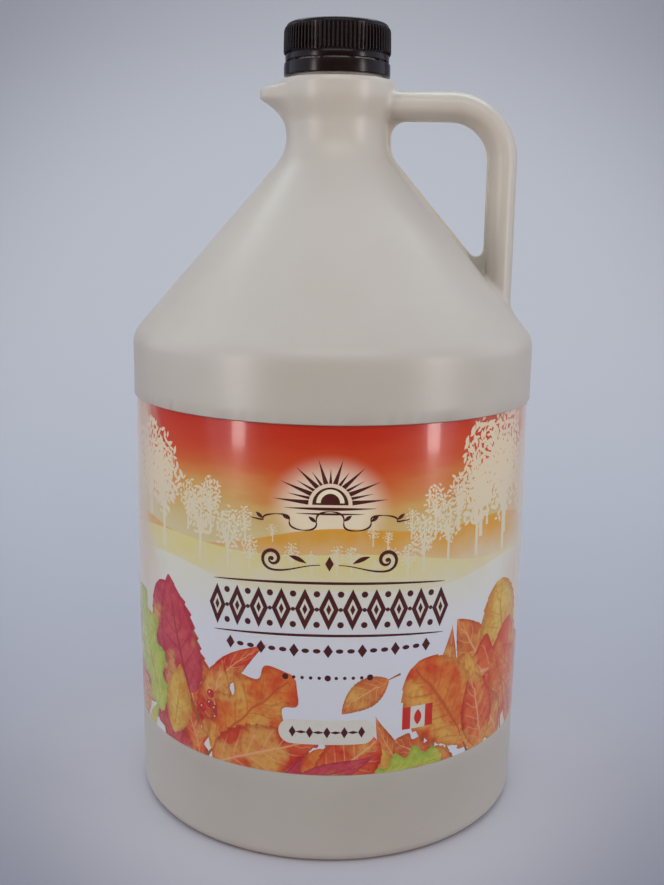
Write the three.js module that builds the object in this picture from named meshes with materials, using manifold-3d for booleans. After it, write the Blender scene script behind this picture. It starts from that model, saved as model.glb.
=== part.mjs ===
// A four-litre maple syrup jug, shut and full: a round blow-moulded body with a stirrup handle,
// a small pouring lip opposite the handle, a ribbed screw cap whose tamper band is still joined
// to it, and a label wrapped round the body. The shut jug can't be seen into, so it is solid.
// Millimetres, +Z up. The origin is on the jug's axis where it stands, the handle is at +X, the
// pouring lip at -X, and the middle of the label faces -Y.
import * as THREE from 'three';
import { mergeVertices } from 'three/addons/utils/BufferGeometryUtils.js';
import Module from 'manifold-3d';

const wasm = await Module();
wasm.setup();

// Driving dimensions of the body.
const BODY_RADIUS = 79;
const HEEL_RADIUS = 78;
const NECK_RADIUS = 19.2;
const HEEL_ROUND = 5;
const FOOT_INNER_RADIUS = 63;
const DISH_RADIUS = 56;
const DISH_DEPTH = 2.5;
const DISH_ROUND = 4;
const FOOT_INNER_ROUND = 2;
const SHOULDER_HEIGHT = 187.4;
const SHOULDER_ROUND = 10;
const NECK_CORNER_HEIGHT = 256.6;
const NECK_CORNER_ROUND = 18;
const BODY_SEGMENTS = 64;

// The label lies in a shallow recess of the wall, clear of it by a hair.
const LABEL_BOTTOM = 35.7;
const LABEL_TOP = 163.5;
const LABEL_THICKNESS = 0.5;
const CLEARANCE = 0.3;
const RECESS_MARGIN = 0.4;
const RECESS_STEP_HEIGHT = 1.1;
const RECESS_STEP_ROUND = 0.8;
const WALL_BULGE = 0.6;
const BULGE_STATIONS = 4;
const SEAM_WIDTH = 1.6;
const SEAM_TURN = THREE.MathUtils.degToRad(112);

// The collar under the cap, and the pouring lip that grows out of it.
const COLLAR_RADIUS = 22;
const COLLAR_TOP_RADIUS = 21.4;
const COLLAR_BOTTOM = 277.4;
const COLLAR_TOP = 283.6;
const COLLAR_ROUND = 0.9;
const COLLAR_STEP_RISE = 0.4;
const FLARE_START = 268;
const FLARE_ENTRY_ROUND = 4;
const FLARE_ROUND = 26;
const LIP_REACH = 29.5;
const LIP_HALF_TURN = THREE.MathUtils.degToRad(38);
const LIP_UNDERSIDE_START = 261;
const LIP_UNDERSIDE_END = 276.4;
const LIP_TOP = 280;
const LIP_TOP_INNER = 281.4;
const LIP_TOP_SETBACK = 0.4;
const LIP_UNDERSIDE_POWER = 2.8;
const LIP_STATIONS = [264.5, 272.4, 274.6];

// The handle: a swept oval with a thin moulding web round the inside of its eye. WEB_HEIGHT is how
// far the web stands inwards from the oval, and the next two are how far it stands off the body.
const ARM_HEIGHT = 275;
const LEG_REACH = 65;
const HANDLE_BEND = 20.8;
const HANDLE_HALF_THICKNESS = 5.3;
const HANDLE_HALF_DEPTH = 9.5;
const HANDLE_FULLNESS = 2.3;
const HANDLE_SIDES = 20;
const HANDLE_STEPS = 34;
const ARM_START = 7;
const LEG_END = 190;
const WEB_THICKNESS = 2.4;
const WEB_HEIGHT = 0.65;
const WEB_ON_SHOULDER = 1.5;
const WEB_ON_NECK = 2.2;
const EYE_TOP_ROUND = 6;
const EYE_BOTTOM_ROUND = 3.2;

// The cap and its tamper band.
const OVERALL_HEIGHT = 304;
const CAP_RADIUS = 19.9;
const CAP_EDGE_ROUND = 1.3;
const CAP_TOP_THICKNESS = 1.8;
const CAP_WALL_INNER_RADIUS = 18.2;
const SKIRT_BOTTOM = 290.3;
const BAND_TOP = 289.7;
const BAND_BOTTOM = 284.8;
const BAND_RADIUS = 20.4;
const BAND_ROUND = 0.4;
const BRIDGES = 10;
const BRIDGE_WIDTH = 1.4;
const RIBS = 80;
const RIB_BOTTOM = 292.7;
const RIB_TOP = 302.4;
const RIB_WIDTH = 0.8;
const RIB_TOP_RADIUS = 20.35;
const RIB_BOTTOM_RADIUS = 20.6;
const RIB_ROOT_RADIUS = 19.2;
const CAP_SEGMENTS = 80;
const FINISH_RADIUS = CAP_WALL_INNER_RADIUS - CLEARANCE;
const FINISH_TOP = OVERALL_HEIGHT - CAP_TOP_THICKNESS - CLEARANCE;

const PANEL_RADIUS = HEEL_RADIUS - LABEL_THICKNESS - CLEARANCE;
const SHOULDER_SLOPE = (BODY_RADIUS - NECK_RADIUS) / (NECK_CORNER_HEIGHT - SHOULDER_HEIGHT);
const FULL_TURN = 2 * Math.PI;
const ARC_STEP = THREE.MathUtils.degToRad(24);
const CAP_ARC_STEP = THREE.MathUtils.degToRad(45);

const material = (color, roughness) => new THREE.MeshStandardMaterial({ color, roughness, metalness: 0 });
const jugPlastic = material(0xcfc4b6, 0.42);
const capPlastic = material(0x1d1514, 0.36);
const labelFilm = material(0xe4803f, 0.25);

// An outline through corners [x, y, round], with an arc at each corner that has a rounding radius.
function roundedOutline(corners, closed = false, arcStep = ARC_STEP) {
  const points = [];
  corners.forEach(([x, y, round], i) => {
    const corner = new THREE.Vector2(x, y);
    const isEnd = !closed && (i === 0 || i === corners.length - 1);
    if (!round || isEnd) {
      points.push(corner);
      return;
    }
    const before = corners[(i + corners.length - 1) % corners.length];
    const after = corners[(i + 1) % corners.length];
    const back = new THREE.Vector2(before[0], before[1]).sub(corner).normalize();
    const ahead = new THREE.Vector2(after[0], after[1]).sub(corner).normalize();
    const halfAngle = Math.acos(THREE.MathUtils.clamp(back.dot(ahead), -1, 1)) / 2;
    const bisector = back.clone().add(ahead).normalize();
    const centre = corner.clone().addScaledVector(bisector, round / Math.sin(halfAngle));
    const start = corner.clone().addScaledVector(back, round / Math.tan(halfAngle)).sub(centre);
    const sweep = (Math.PI - 2 * halfAngle) * Math.sign(ahead.cross(back));
    const steps = Math.max(2, Math.ceil(Math.abs(sweep) / arcStep));
    for (let step = 0; step <= steps; step += 1) {
      points.push(start.clone().rotateAround(new THREE.Vector2(), (sweep * step) / steps).add(centre));
    }
  });
  return points;
}

// The radius of the label's recess at a height: the full jug bulges a little at mid-height.
function bulged(radius, z) {
  const share = THREE.MathUtils.clamp((z - LABEL_BOTTOM) / (LABEL_TOP - LABEL_BOTTOM), 0, 1);
  return radius + WALL_BULGE * Math.sin(Math.PI * share);
}

function bulgeHeights() {
  return Array.from({ length: BULGE_STATIONS + 1 }, (_, i) => (
    THREE.MathUtils.lerp(LABEL_BOTTOM, LABEL_TOP, i / BULGE_STATIONS)));
}

const turned = (outline, segments) => new THREE.LatheGeometry(outline, segments).rotateX(Math.PI / 2);

function solidOf(geometry) {
  const bare = geometry.clone();
  bare.deleteAttribute('normal');
  bare.deleteAttribute('uv');
  const merged = mergeVertices(bare, 1e-4);
  const corners = merged.index.array;
  const kept = [];
  for (let i = 0; i < corners.length; i += 3) {
    const [a, b, c] = corners.subarray(i, i + 3);
    if (a !== b && b !== c && c !== a) {
      kept.push(a, b, c);
    }
  }
  return new wasm.Manifold(new wasm.Mesh({
    numProp: 3,
    vertProperties: new Float32Array(merged.attributes.position.array),
    triVerts: new Uint32Array(kept),
  }));
}

function meshOf(name, solid, finish) {
  const { vertProperties, triVerts } = solid.getMesh();
  const geometry = new THREE.BufferGeometry();
  geometry.setAttribute('position', new THREE.BufferAttribute(new Float32Array(vertProperties), 3));
  geometry.setIndex(new THREE.BufferAttribute(new Uint32Array(triVerts), 1));
  geometry.computeVertexNormals();
  const mesh = new THREE.Mesh(geometry, finish);
  mesh.name = name;
  return mesh;
}

// A flat plate in the XZ plane, centred on it, from an outline of [x, z] points and its holes.
function plate(outline, holes, thickness) {
  const shape = new THREE.Shape(outline);
  shape.holes = holes.map((hole) => new THREE.Path(hole));
  const geometry = new THREE.ExtrudeGeometry(shape, { depth: thickness, bevelEnabled: false });
  return geometry.translate(0, 0, -thickness / 2).rotateX(Math.PI / 2);
}

// The outline of the body from the middle of its underside to the top of its threaded finish.
function bodyOutline() {
  const recessTop = LABEL_TOP + RECESS_MARGIN;
  const recessBottom = LABEL_BOTTOM - RECESS_MARGIN;
  return roundedOutline([
    [0, DISH_DEPTH],
    [DISH_RADIUS, DISH_DEPTH, DISH_ROUND],
    [FOOT_INNER_RADIUS, 0, FOOT_INNER_ROUND],
    [HEEL_RADIUS, 0, HEEL_ROUND],
    [HEEL_RADIUS, recessBottom - CLEARANCE],
    ...bulgeHeights().map((z, i) => {
      const edge = { 0: recessBottom, [BULGE_STATIONS]: recessTop };
      return [bulged(PANEL_RADIUS, z), edge[i] ?? z];
    }),
    [BODY_RADIUS, recessTop + RECESS_STEP_HEIGHT, RECESS_STEP_ROUND],
    [BODY_RADIUS, SHOULDER_HEIGHT, SHOULDER_ROUND],
    [NECK_RADIUS, NECK_CORNER_HEIGHT, NECK_CORNER_ROUND],
    [NECK_RADIUS, LIP_STATIONS[0]],
    [NECK_RADIUS, FLARE_START, FLARE_ENTRY_ROUND],
    ...LIP_STATIONS.slice(1).map((z) => [flareRadius(z), z]),
    [COLLAR_RADIUS, COLLAR_BOTTOM, COLLAR_ROUND],
    [COLLAR_RADIUS, LIP_TOP],
    [COLLAR_RADIUS, LIP_TOP_INNER],
    [COLLAR_TOP_RADIUS, COLLAR_TOP, COLLAR_ROUND],
    [FINISH_RADIUS, COLLAR_TOP + COLLAR_STEP_RISE],
    [FINISH_RADIUS, FINISH_TOP],
    [0, FINISH_TOP],
  ]);
}

// Under the collar the neck flares out on an arc that ends at the collar's lower edge.
function flareRadius(z) {
  const rise = z - FLARE_START;
  return NECK_RADIUS + FLARE_ROUND - Math.sqrt(FLARE_ROUND ** 2 - Math.max(0, rise) ** 2);
}

// How far the middle of the pouring lip reaches at a height, where it stands out of the neck.
function lipRadius(z) {
  if (z <= LIP_UNDERSIDE_START || z >= LIP_TOP_INNER) {
    return 0;
  }
  if (z > LIP_TOP) {
    const share = (z - LIP_TOP) / (LIP_TOP_INNER - LIP_TOP);
    return THREE.MathUtils.lerp(LIP_REACH - LIP_TOP_SETBACK, COLLAR_RADIUS, share);
  }
  const share = Math.min(1, (z - LIP_UNDERSIDE_START) / (LIP_UNDERSIDE_END - LIP_UNDERSIDE_START));
  return THREE.MathUtils.lerp(NECK_RADIUS, LIP_REACH, share ** LIP_UNDERSIDE_POWER);
}

// Draws the body's wall out towards -X into the pouring lip.
function drawOutLip(geometry) {
  const position = geometry.attributes.position;
  for (let i = 0; i < position.count; i += 1) {
    const [x, y, z] = [position.getX(i), position.getY(i), position.getZ(i)];
    const radius = Math.hypot(x, y);
    const turn = Math.abs(Math.atan2(y, -x));
    const reach = lipRadius(z);
    if (radius > FINISH_RADIUS && turn < LIP_HALF_TURN && reach > radius) {
      const share = Math.cos((turn / LIP_HALF_TURN) * (Math.PI / 2)) ** 2;
      const scale = 1 + (share * (reach - radius)) / radius;
      position.setXY(i, x * scale, y * scale);
    }
  }
  return geometry;
}

// The oval section of the handle, a little fuller than an ellipse.
function handleSection() {
  const points = Array.from({ length: HANDLE_SIDES }, (_, i) => {
    const angle = (FULL_TURN * i) / HANDLE_SIDES;
    const oval = (value) => Math.sign(value) * Math.abs(value) ** (2 / HANDLE_FULLNESS);
    return new THREE.Vector2(
      HANDLE_HALF_THICKNESS * oval(Math.cos(angle)),
      HANDLE_HALF_DEPTH * oval(Math.sin(angle)),
    );
  });
  return new THREE.Shape(points);
}

class BendCurve extends THREE.Curve {
  // A quarter turn in the XZ plane, from the arm down into the leg.
  getPoint(share, target = new THREE.Vector3()) {
    const angle = (share * Math.PI) / 2;
    return target.set(
      LEG_REACH - HANDLE_BEND + HANDLE_BEND * Math.sin(angle),
      0,
      ARM_HEIGHT - HANDLE_BEND + HANDLE_BEND * Math.cos(angle),
    );
  }
}

function handleGeometry() {
  const path = new THREE.CurvePath();
  const bendStart = new THREE.Vector3(LEG_REACH - HANDLE_BEND, 0, ARM_HEIGHT);
  const bendEnd = new THREE.Vector3(LEG_REACH, 0, ARM_HEIGHT - HANDLE_BEND);
  path.add(new THREE.LineCurve3(new THREE.Vector3(ARM_START, 0, ARM_HEIGHT), bendStart));
  path.add(new BendCurve());
  path.add(new THREE.LineCurve3(bendEnd, new THREE.Vector3(LEG_REACH, 0, LEG_END)));
  return new THREE.ExtrudeGeometry(handleSection(), {
    steps: HANDLE_STEPS,
    extrudePath: path,
    bevelEnabled: false,
  });
}

// How high the shoulder's slope is at a radius, once it is moved out square to itself.
function shoulderHeight(radius, outwards = 0) {
  const slopeStart = NECK_RADIUS + outwards * Math.hypot(1, SHOULDER_SLOPE);
  return NECK_CORNER_HEIGHT - (radius - slopeStart) / SHOULDER_SLOPE;
}

// The thin web that the mould leaves round the inside of the handle's eye.
function webGeometry() {
  const left = NECK_RADIUS + WEB_ON_NECK;
  const right = LEG_REACH - HANDLE_HALF_THICKNESS - WEB_HEIGHT;
  const top = ARM_HEIGHT - HANDLE_HALF_THICKNESS - WEB_HEIGHT;
  const eye = roundedOutline([
    [left, top, EYE_TOP_ROUND],
    [left, shoulderHeight(left, WEB_ON_SHOULDER), NECK_CORNER_ROUND / 2],
    [right, shoulderHeight(right, WEB_ON_SHOULDER), EYE_BOTTOM_ROUND],
    [right, top, HANDLE_BEND - HANDLE_HALF_THICKNESS - WEB_HEIGHT],
  ], true);
  const rim = roundedOutline([
    [NECK_RADIUS / 2, ARM_HEIGHT],
    [NECK_RADIUS / 2, shoulderHeight(NECK_RADIUS) - NECK_RADIUS],
    [LEG_REACH, shoulderHeight(LEG_REACH) - WEB_THICKNESS],
    [LEG_REACH, ARM_HEIGHT, HANDLE_BEND],
  ], true);
  return plate(rim, [eye], WEB_THICKNESS);
}

function jug() {
  const body = solidOf(drawOutLip(turned(bodyOutline(), BODY_SEGMENTS)));
  return body.add(solidOf(handleGeometry())).add(solidOf(webGeometry()));
}

function label() {
  const inner = PANEL_RADIUS + CLEARANCE;
  const outer = inner + LABEL_THICKNESS;
  const heights = bulgeHeights();
  const up = heights.map((z) => new THREE.Vector2(bulged(outer, z), z));
  const down = heights.toReversed().map((z) => new THREE.Vector2(bulged(inner, z), z));
  const sleeve = solidOf(turned([...up, ...down, up[0]], BODY_SEGMENTS));
  const slot = new THREE.BoxGeometry(BODY_RADIUS, SEAM_WIDTH, OVERALL_HEIGHT)
    .translate(BODY_RADIUS, 0, OVERALL_HEIGHT / 2).rotateZ(SEAM_TURN);
  return sleeve.subtract(solidOf(slot));
}

// One grip rib: a slim upright bar that leans in a little, as the cap's mould is drawn upwards.
function ribGeometry(index) {
  const outline = roundedOutline([
    [RIB_ROOT_RADIUS, RIB_BOTTOM],
    [RIB_BOTTOM_RADIUS, RIB_BOTTOM],
    [RIB_TOP_RADIUS, RIB_TOP],
    [RIB_ROOT_RADIUS, RIB_TOP],
  ], true);
  return plate(outline, [], RIB_WIDTH).rotateZ((FULL_TURN * index) / RIBS);
}

function bridgeGeometry(index) {
  const depth = CAP_RADIUS - CAP_WALL_INNER_RADIUS;
  return new THREE.BoxGeometry(depth, BRIDGE_WIDTH, 2 * (SKIRT_BOTTOM - BAND_TOP))
    .translate(CAP_WALL_INNER_RADIUS + depth / 2 + CLEARANCE / 2, 0, (SKIRT_BOTTOM + BAND_TOP) / 2)
    .rotateZ((FULL_TURN * (index + 0.5)) / BRIDGES);
}

function cap() {
  const shell = turned(roundedOutline([
    [0, FINISH_TOP + CLEARANCE],
    [CAP_WALL_INNER_RADIUS, FINISH_TOP + CLEARANCE],
    [CAP_WALL_INNER_RADIUS, SKIRT_BOTTOM],
    [CAP_RADIUS, SKIRT_BOTTOM],
    [CAP_RADIUS, OVERALL_HEIGHT, CAP_EDGE_ROUND],
    [0, OVERALL_HEIGHT],
  ], false, CAP_ARC_STEP), CAP_SEGMENTS);
  const band = turned(roundedOutline([
    [CAP_WALL_INNER_RADIUS, BAND_TOP],
    [CAP_WALL_INNER_RADIUS, BAND_BOTTOM],
    [BAND_RADIUS, BAND_BOTTOM, BAND_ROUND],
    [BAND_RADIUS, BAND_TOP],
    [CAP_WALL_INNER_RADIUS, BAND_TOP],
  ], false, CAP_ARC_STEP), CAP_SEGMENTS);
  const ribs = Array.from({ length: RIBS }, (_, i) => solidOf(ribGeometry(i)));
  const bridges = Array.from({ length: BRIDGES }, (_, i) => solidOf(bridgeGeometry(i)));
  return wasm.Manifold.union([solidOf(shell), solidOf(band), ...ribs, ...bridges]);
}

const group = new THREE.Group();
group.add(
  meshOf('jug', jug(), jugPlastic),
  meshOf('label', label(), labelFilm),
  meshOf('cap', cap(), capPlastic),
);

export default group;
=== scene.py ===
"""Looks of a shut four-litre maple syrup jug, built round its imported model.

The blow-moulded jug, its ribbed cap and its printed wrap label are modelled in millimetres and made
in metres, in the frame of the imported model: +Z is up, the handle is at +X, the pouring lip at -X,
and the middle of the label faces -Y. The label carries a generic autumn print without lettering.
"""

from __future__ import annotations

import logging
import math
import random
from collections.abc import Callable, Iterable, Sequence
from dataclasses import dataclass, field
from enum import Enum

import bmesh
import bpy
import numpy as np
from bpy.types import Material, Object
from mathutils import Matrix, Vector
from mathutils.geometry import delaunay_2d_cdt

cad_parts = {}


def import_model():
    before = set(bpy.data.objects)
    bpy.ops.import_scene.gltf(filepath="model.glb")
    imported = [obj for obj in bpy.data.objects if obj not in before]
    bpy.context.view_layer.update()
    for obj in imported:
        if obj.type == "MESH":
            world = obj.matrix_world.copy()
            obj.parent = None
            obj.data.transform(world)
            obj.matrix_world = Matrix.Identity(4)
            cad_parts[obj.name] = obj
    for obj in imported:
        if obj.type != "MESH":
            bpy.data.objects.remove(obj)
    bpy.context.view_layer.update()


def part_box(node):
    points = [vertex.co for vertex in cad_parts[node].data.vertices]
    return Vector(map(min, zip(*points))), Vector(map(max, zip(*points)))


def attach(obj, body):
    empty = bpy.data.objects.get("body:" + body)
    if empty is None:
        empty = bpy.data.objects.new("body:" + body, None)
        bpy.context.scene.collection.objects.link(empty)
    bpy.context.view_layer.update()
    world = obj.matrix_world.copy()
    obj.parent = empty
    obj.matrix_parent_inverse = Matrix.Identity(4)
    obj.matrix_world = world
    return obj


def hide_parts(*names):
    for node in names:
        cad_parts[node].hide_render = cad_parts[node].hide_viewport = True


LOG = logging.getLogger("syrup_jug")
MM = 0.001
FULL_TURN = 2 * math.pi
BODY_NAME = "root"
LEAF_PLACE = "leaf_place"
GOLDEN_TURN = 2.399963
TINY = 1e-6

# Swells of the blown wall: how many go round, their height in millimetres, their start and size.
WALL_WAVES = ((3, 31, 0.4, 1.0), (5, -19, 2.1, 0.6), (2, 12, 0.0, 0.4))
WALL_SWELL = 0.055
WALL_FADE = 30.0

Pair = tuple[float, float]
Colour = tuple[float, float, float]
Corner = tuple[float, float, float]
Place = tuple[float, float, float]
Faces = list[tuple[int, ...]]


class Slot(Enum):
    """Names of three material slots: jug, label and cap."""

    JUG = "jug_plastic"
    LABEL = "label_film"
    CAP = "cap_plastic"


class Signal:
    """A node's output socket, on which each Python operator adds one Math node."""

    def __init__(self, sheet: NodeSheet, socket: bpy.types.NodeSocket) -> None:
        """Keeps the socket and the sheet that it belongs to."""
        self.sheet = sheet
        self.socket = socket

    def math(self, operation: str, *others: Signal | float) -> Signal:
        """Adds a Math node whose first operand is this signal."""
        return self.sheet.math(operation, self, *others)

    def __add__(self, other: Signal | float) -> Signal:
        """Adds."""
        return self.math("ADD", other)

    __radd__ = __add__

    def __sub__(self, other: Signal | float) -> Signal:
        """Subtracts."""
        return self.math("SUBTRACT", other)

    def __rsub__(self, other: float) -> Signal:
        """Subtracts from a number."""
        return self.sheet.math("SUBTRACT", other, self)

    def __mul__(self, other: Signal | float) -> Signal:
        """Multiplies."""
        return self.math("MULTIPLY", other)

    __rmul__ = __mul__

    def __truediv__(self, other: Signal | float) -> Signal:
        """Divides."""
        return self.math("DIVIDE", other)

    def __pow__(self, other: Signal | float) -> Signal:
        """Raises to a power."""
        return self.math("POWER", other)

    def __abs__(self) -> Signal:
        """Drops the sign."""
        return self.math("ABSOLUTE")

    def least(self, other: Signal | float) -> Signal:
        """Gives the smaller of the two."""
        return self.math("MINIMUM", other)

    def most(self, other: Signal | float) -> Signal:
        """Gives the larger of the two."""
        return self.math("MAXIMUM", other)

    def step(self, low: float, high: float) -> Signal:
        """Turns a range of this signal into a smooth rise from 0 to 1, or a fall where low is above high."""
        limits = {"From Min": low, "From Max": high}
        return self.sheet.add(
            "ShaderNodeMapRange", {"interpolation_type": "SMOOTHSTEP"}, {"Value": self, **limits}
        )


class NodeSheet:
    """A node tree, of a material or of Geometry Nodes, to which every node is added in one way."""

    MIX_SHARE = 0
    MIX_FIRST = 6
    MIX_SECOND = 7
    MIX_RESULT = 2

    def __init__(self, tree: bpy.types.NodeTree) -> None:
        """Keeps the tree."""
        self.tree = tree

    def add(
        self,
        kind: str,
        settings: dict[str, object] | None = None,
        inputs: dict[str | int, object] | None = None,
        output: str | int = 0,
    ) -> Signal | None:
        """Adds a node.

        Args:
            kind: The node's type.
            settings: Its properties, set first; "stops" are the stops of a colour ramp.
            inputs: Values or signals for its sockets, by name or number.
            output: The output that is given back.

        Returns:
            That output, or None for a node that has none.
        """
        node = self.tree.nodes.new(kind)
        for name, value in (settings or {}).items():
            if name == "stops":
                self._set_stops(node.color_ramp, value)
            else:
                setattr(node, name, value)
        for key, value in (inputs or {}).items():
            if isinstance(value, Signal):
                self.tree.links.new(value.socket, node.inputs[key])
            else:
                node.inputs[key].default_value = value
        return Signal(self, node.outputs[output]) if len(node.outputs) else None

    def math(self, operation: str, *operands: Signal | float) -> Signal:
        """Adds a Math node with the given operands."""
        return self.add("ShaderNodeMath", {"operation": operation}, dict(enumerate(operands)))

    def mix(self, share: Signal | float, first: Signal | Colour, second: Signal | Colour) -> Signal:
        """Mixes two colours.

        Args:
            share: How much of the second colour there is.
            first: The first colour.
            second: The second colour.

        Returns:
            The mixed colour.
        """
        inputs = {self.MIX_SHARE: share}
        for key, value in ((self.MIX_FIRST, first), (self.MIX_SECOND, second)):
            inputs[key] = value if isinstance(value, Signal) else (*value, 1.0)
        return self.add("ShaderNodeMix", {"data_type": "RGBA"}, inputs, self.MIX_RESULT)

    def noise(self, place: Signal, size: float, detail: float = 2.0) -> Signal:
        """Adds soft noise whose lumps are about the given size in metres."""
        return self.add("ShaderNodeTexNoise", inputs={"Vector": place, "Scale": 1 / size, "Detail": detail})

    def parts(self, vector: Signal) -> list[Signal]:
        """Splits a vector into its three numbers."""
        node = self.add("ShaderNodeSeparateXYZ", inputs={0: vector}).socket.node
        return [Signal(self, socket) for socket in node.outputs]

    def bump(self, height: Signal, depth: float, normal: Signal | None = None) -> Signal:
        """Turns a height from 0 to 1 into a bent normal, the height being depth metres."""
        under = {} if normal is None else {"Normal": normal}
        return self.add("ShaderNodeBump", inputs={"Height": height, "Distance": depth, **under})

    @staticmethod
    def _set_stops(ramp: bpy.types.ColorRamp, stops: Sequence[tuple[float, Colour]]) -> None:
        """Gives a colour ramp its stops.

        Args:
            ramp: The colour ramp.
            stops: The place and the colour of each stop, at least two.
        """
        while len(ramp.elements) < len(stops):
            ramp.elements.new(1.0)
        for element, (place, colour) in zip(ramp.elements, stops):
            element.position = place
            element.color = (*colour, 1.0)


@dataclass(frozen=True)
class Finish:
    """A surface finish that makes its own material."""

    name: str

    def material(self) -> Material:
        """Makes the material.

        Returns:
            The material, with its nodes built.
        """
        made = bpy.data.materials.new(self.name)
        made.use_nodes = True
        made.node_tree.nodes.clear()
        sheet = NodeSheet(made.node_tree)
        shader = sheet.add("ShaderNodeBsdfPrincipled", inputs=self.sockets(sheet))
        sheet.add("ShaderNodeOutputMaterial", inputs={"Surface": shader})
        return made

    def sockets(self, sheet: NodeSheet) -> dict[str | int, object]:
        """Gives the values and signals of the shader's sockets."""
        raise NotImplementedError


@dataclass(frozen=True)
class MouldedPlastic(Finish):
    """Satin blow-moulded polyethylene with a faint cloudiness, a fine grain and a parting line."""

    base: Colour = (0.56, 0.49, 0.415)
    cloud: Colour = (0.52, 0.45, 0.375)
    roughness: float = 0.36
    cloud_size: float = 55 * MM
    ripple_size: float = 9 * MM
    ripple_depth: float = 0.035 * MM
    grain_size: float = 0.7 * MM
    grain_depth: float = 0.012 * MM
    parting_half_width: float = 0.22 * MM
    parting_depth: float = 0.06 * MM
    glow_depth: float = 2.5 * MM

    def sockets(self, sheet: NodeSheet) -> dict[str | int, object]:
        """Gives the shader's sockets.

        Args:
            sheet: The material's nodes.

        Returns:
            Values and signals, by the socket's name.
        """
        place = sheet.add("ShaderNodeTexCoord", output="Object")
        _, across, _ = sheet.parts(place)
        drift = sheet.noise(place, self.cloud_size, 3.0)
        ripple = sheet.noise(place, self.ripple_size)
        grain = sheet.noise(place, self.grain_size, 3.0)
        line = abs(across).step(self.parting_half_width * 1.6, self.parting_half_width * 0.6)
        waves = sheet.bump(ripple, self.ripple_depth)
        ridge = sheet.bump(line, self.parting_depth, waves)
        return {
            "Base Color": sheet.mix(drift.step(0.3, 0.75), self.base, self.cloud),
            "Roughness": drift * 0.1 + grain * 0.08 + (self.roughness - 0.09),
            "Normal": sheet.bump(grain, self.grain_depth, ridge),
            "IOR": 1.5,
            "Subsurface Weight": 0.12,
            "Subsurface Radius": (1.0, 0.75, 0.5),
            "Subsurface Scale": self.glow_depth,
        }


@dataclass(frozen=True)
class CapPlastic(Finish):
    """Dark brown moulded plastic, half glossy, with faint flow marks."""

    base: Colour = (0.0085, 0.0021, 0.0023)
    worn: Colour = (0.012, 0.0042, 0.0042)
    roughness: float = 0.21
    flow_size: float = 6 * MM
    grain_size: float = 0.35 * MM
    grain_depth: float = 0.006 * MM

    def sockets(self, sheet: NodeSheet) -> dict[str | int, object]:
        """Gives the shader's sockets.

        Args:
            sheet: The material's nodes.

        Returns:
            Values and signals, by the socket's name.
        """
        place = sheet.add("ShaderNodeTexCoord", output="Object")
        drift = sheet.noise(place, self.flow_size, 3.0)
        grain = sheet.noise(place, self.grain_size)
        return {
            "Base Color": sheet.mix(drift.step(0.45, 0.8), self.base, self.worn),
            "Roughness": drift * 0.12 + grain * 0.08 + (self.roughness - 0.1),
            "Normal": sheet.bump(grain, self.grain_depth),
            "IOR": 1.5,
            "Specular IOR Level": 0.19,
        }


@dataclass(frozen=True)
class FilmFinish(Finish):
    """Base of everything printed on the glossy film: the film's gloss and its faint waviness."""

    gloss: float = 0.2
    wave_size: float = 14 * MM
    wave_depth: float = 0.02 * MM
    speck_size: float = 1.1 * MM
    side: Colour = (0.74, 0.58, 0.44)
    side_share: float = 0.85
    side_cloud: float = 25 * MM
    side_drift: float = 60 * MM
    side_limits: Pair = (-54 * MM, -28 * MM)

    def sockets(self, sheet: NodeSheet) -> dict[str | int, object]:
        """Gives the shader's sockets.

        Args:
            sheet: The material's nodes.

        Returns:
            Values and signals, by the socket's name.
        """
        place = sheet.add("ShaderNodeTexCoord", output="Object")
        wave = sheet.noise(place, self.wave_size)
        speck = sheet.noise(place, self.speck_size)
        return {
            "Base Color": self.colour(sheet, place),
            "Roughness": speck * 0.06 + (self.gloss - 0.03),
            "Normal": sheet.bump(wave, self.wave_depth),
            "IOR": 1.5,
            "Specular IOR Level": 0.3,
            "Coat Weight": 0.35,
            "Coat Roughness": 0.06,
        }

    def colour(self, sheet: NodeSheet, place: Signal) -> Signal:
        """Gives the printed colour."""
        raise NotImplementedError

    def paled(self, sheet: NodeSheet, place: Signal, ink: Signal) -> Signal:
        """Washes a colour out to cream away from the label's front.

        Args:
            sheet: The material's nodes.
            place: Where the surface is.
            ink: The colour at the front.

        Returns:
            The washed colour.
        """
        _, y, _ = sheet.parts(place)
        cloud = sheet.noise(place, self.side_cloud, 4.0)
        far = (y + (cloud - 0.5) * self.side_drift).step(*self.side_limits)
        return sheet.mix(far * self.side_share, ink, self.side)


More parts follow.
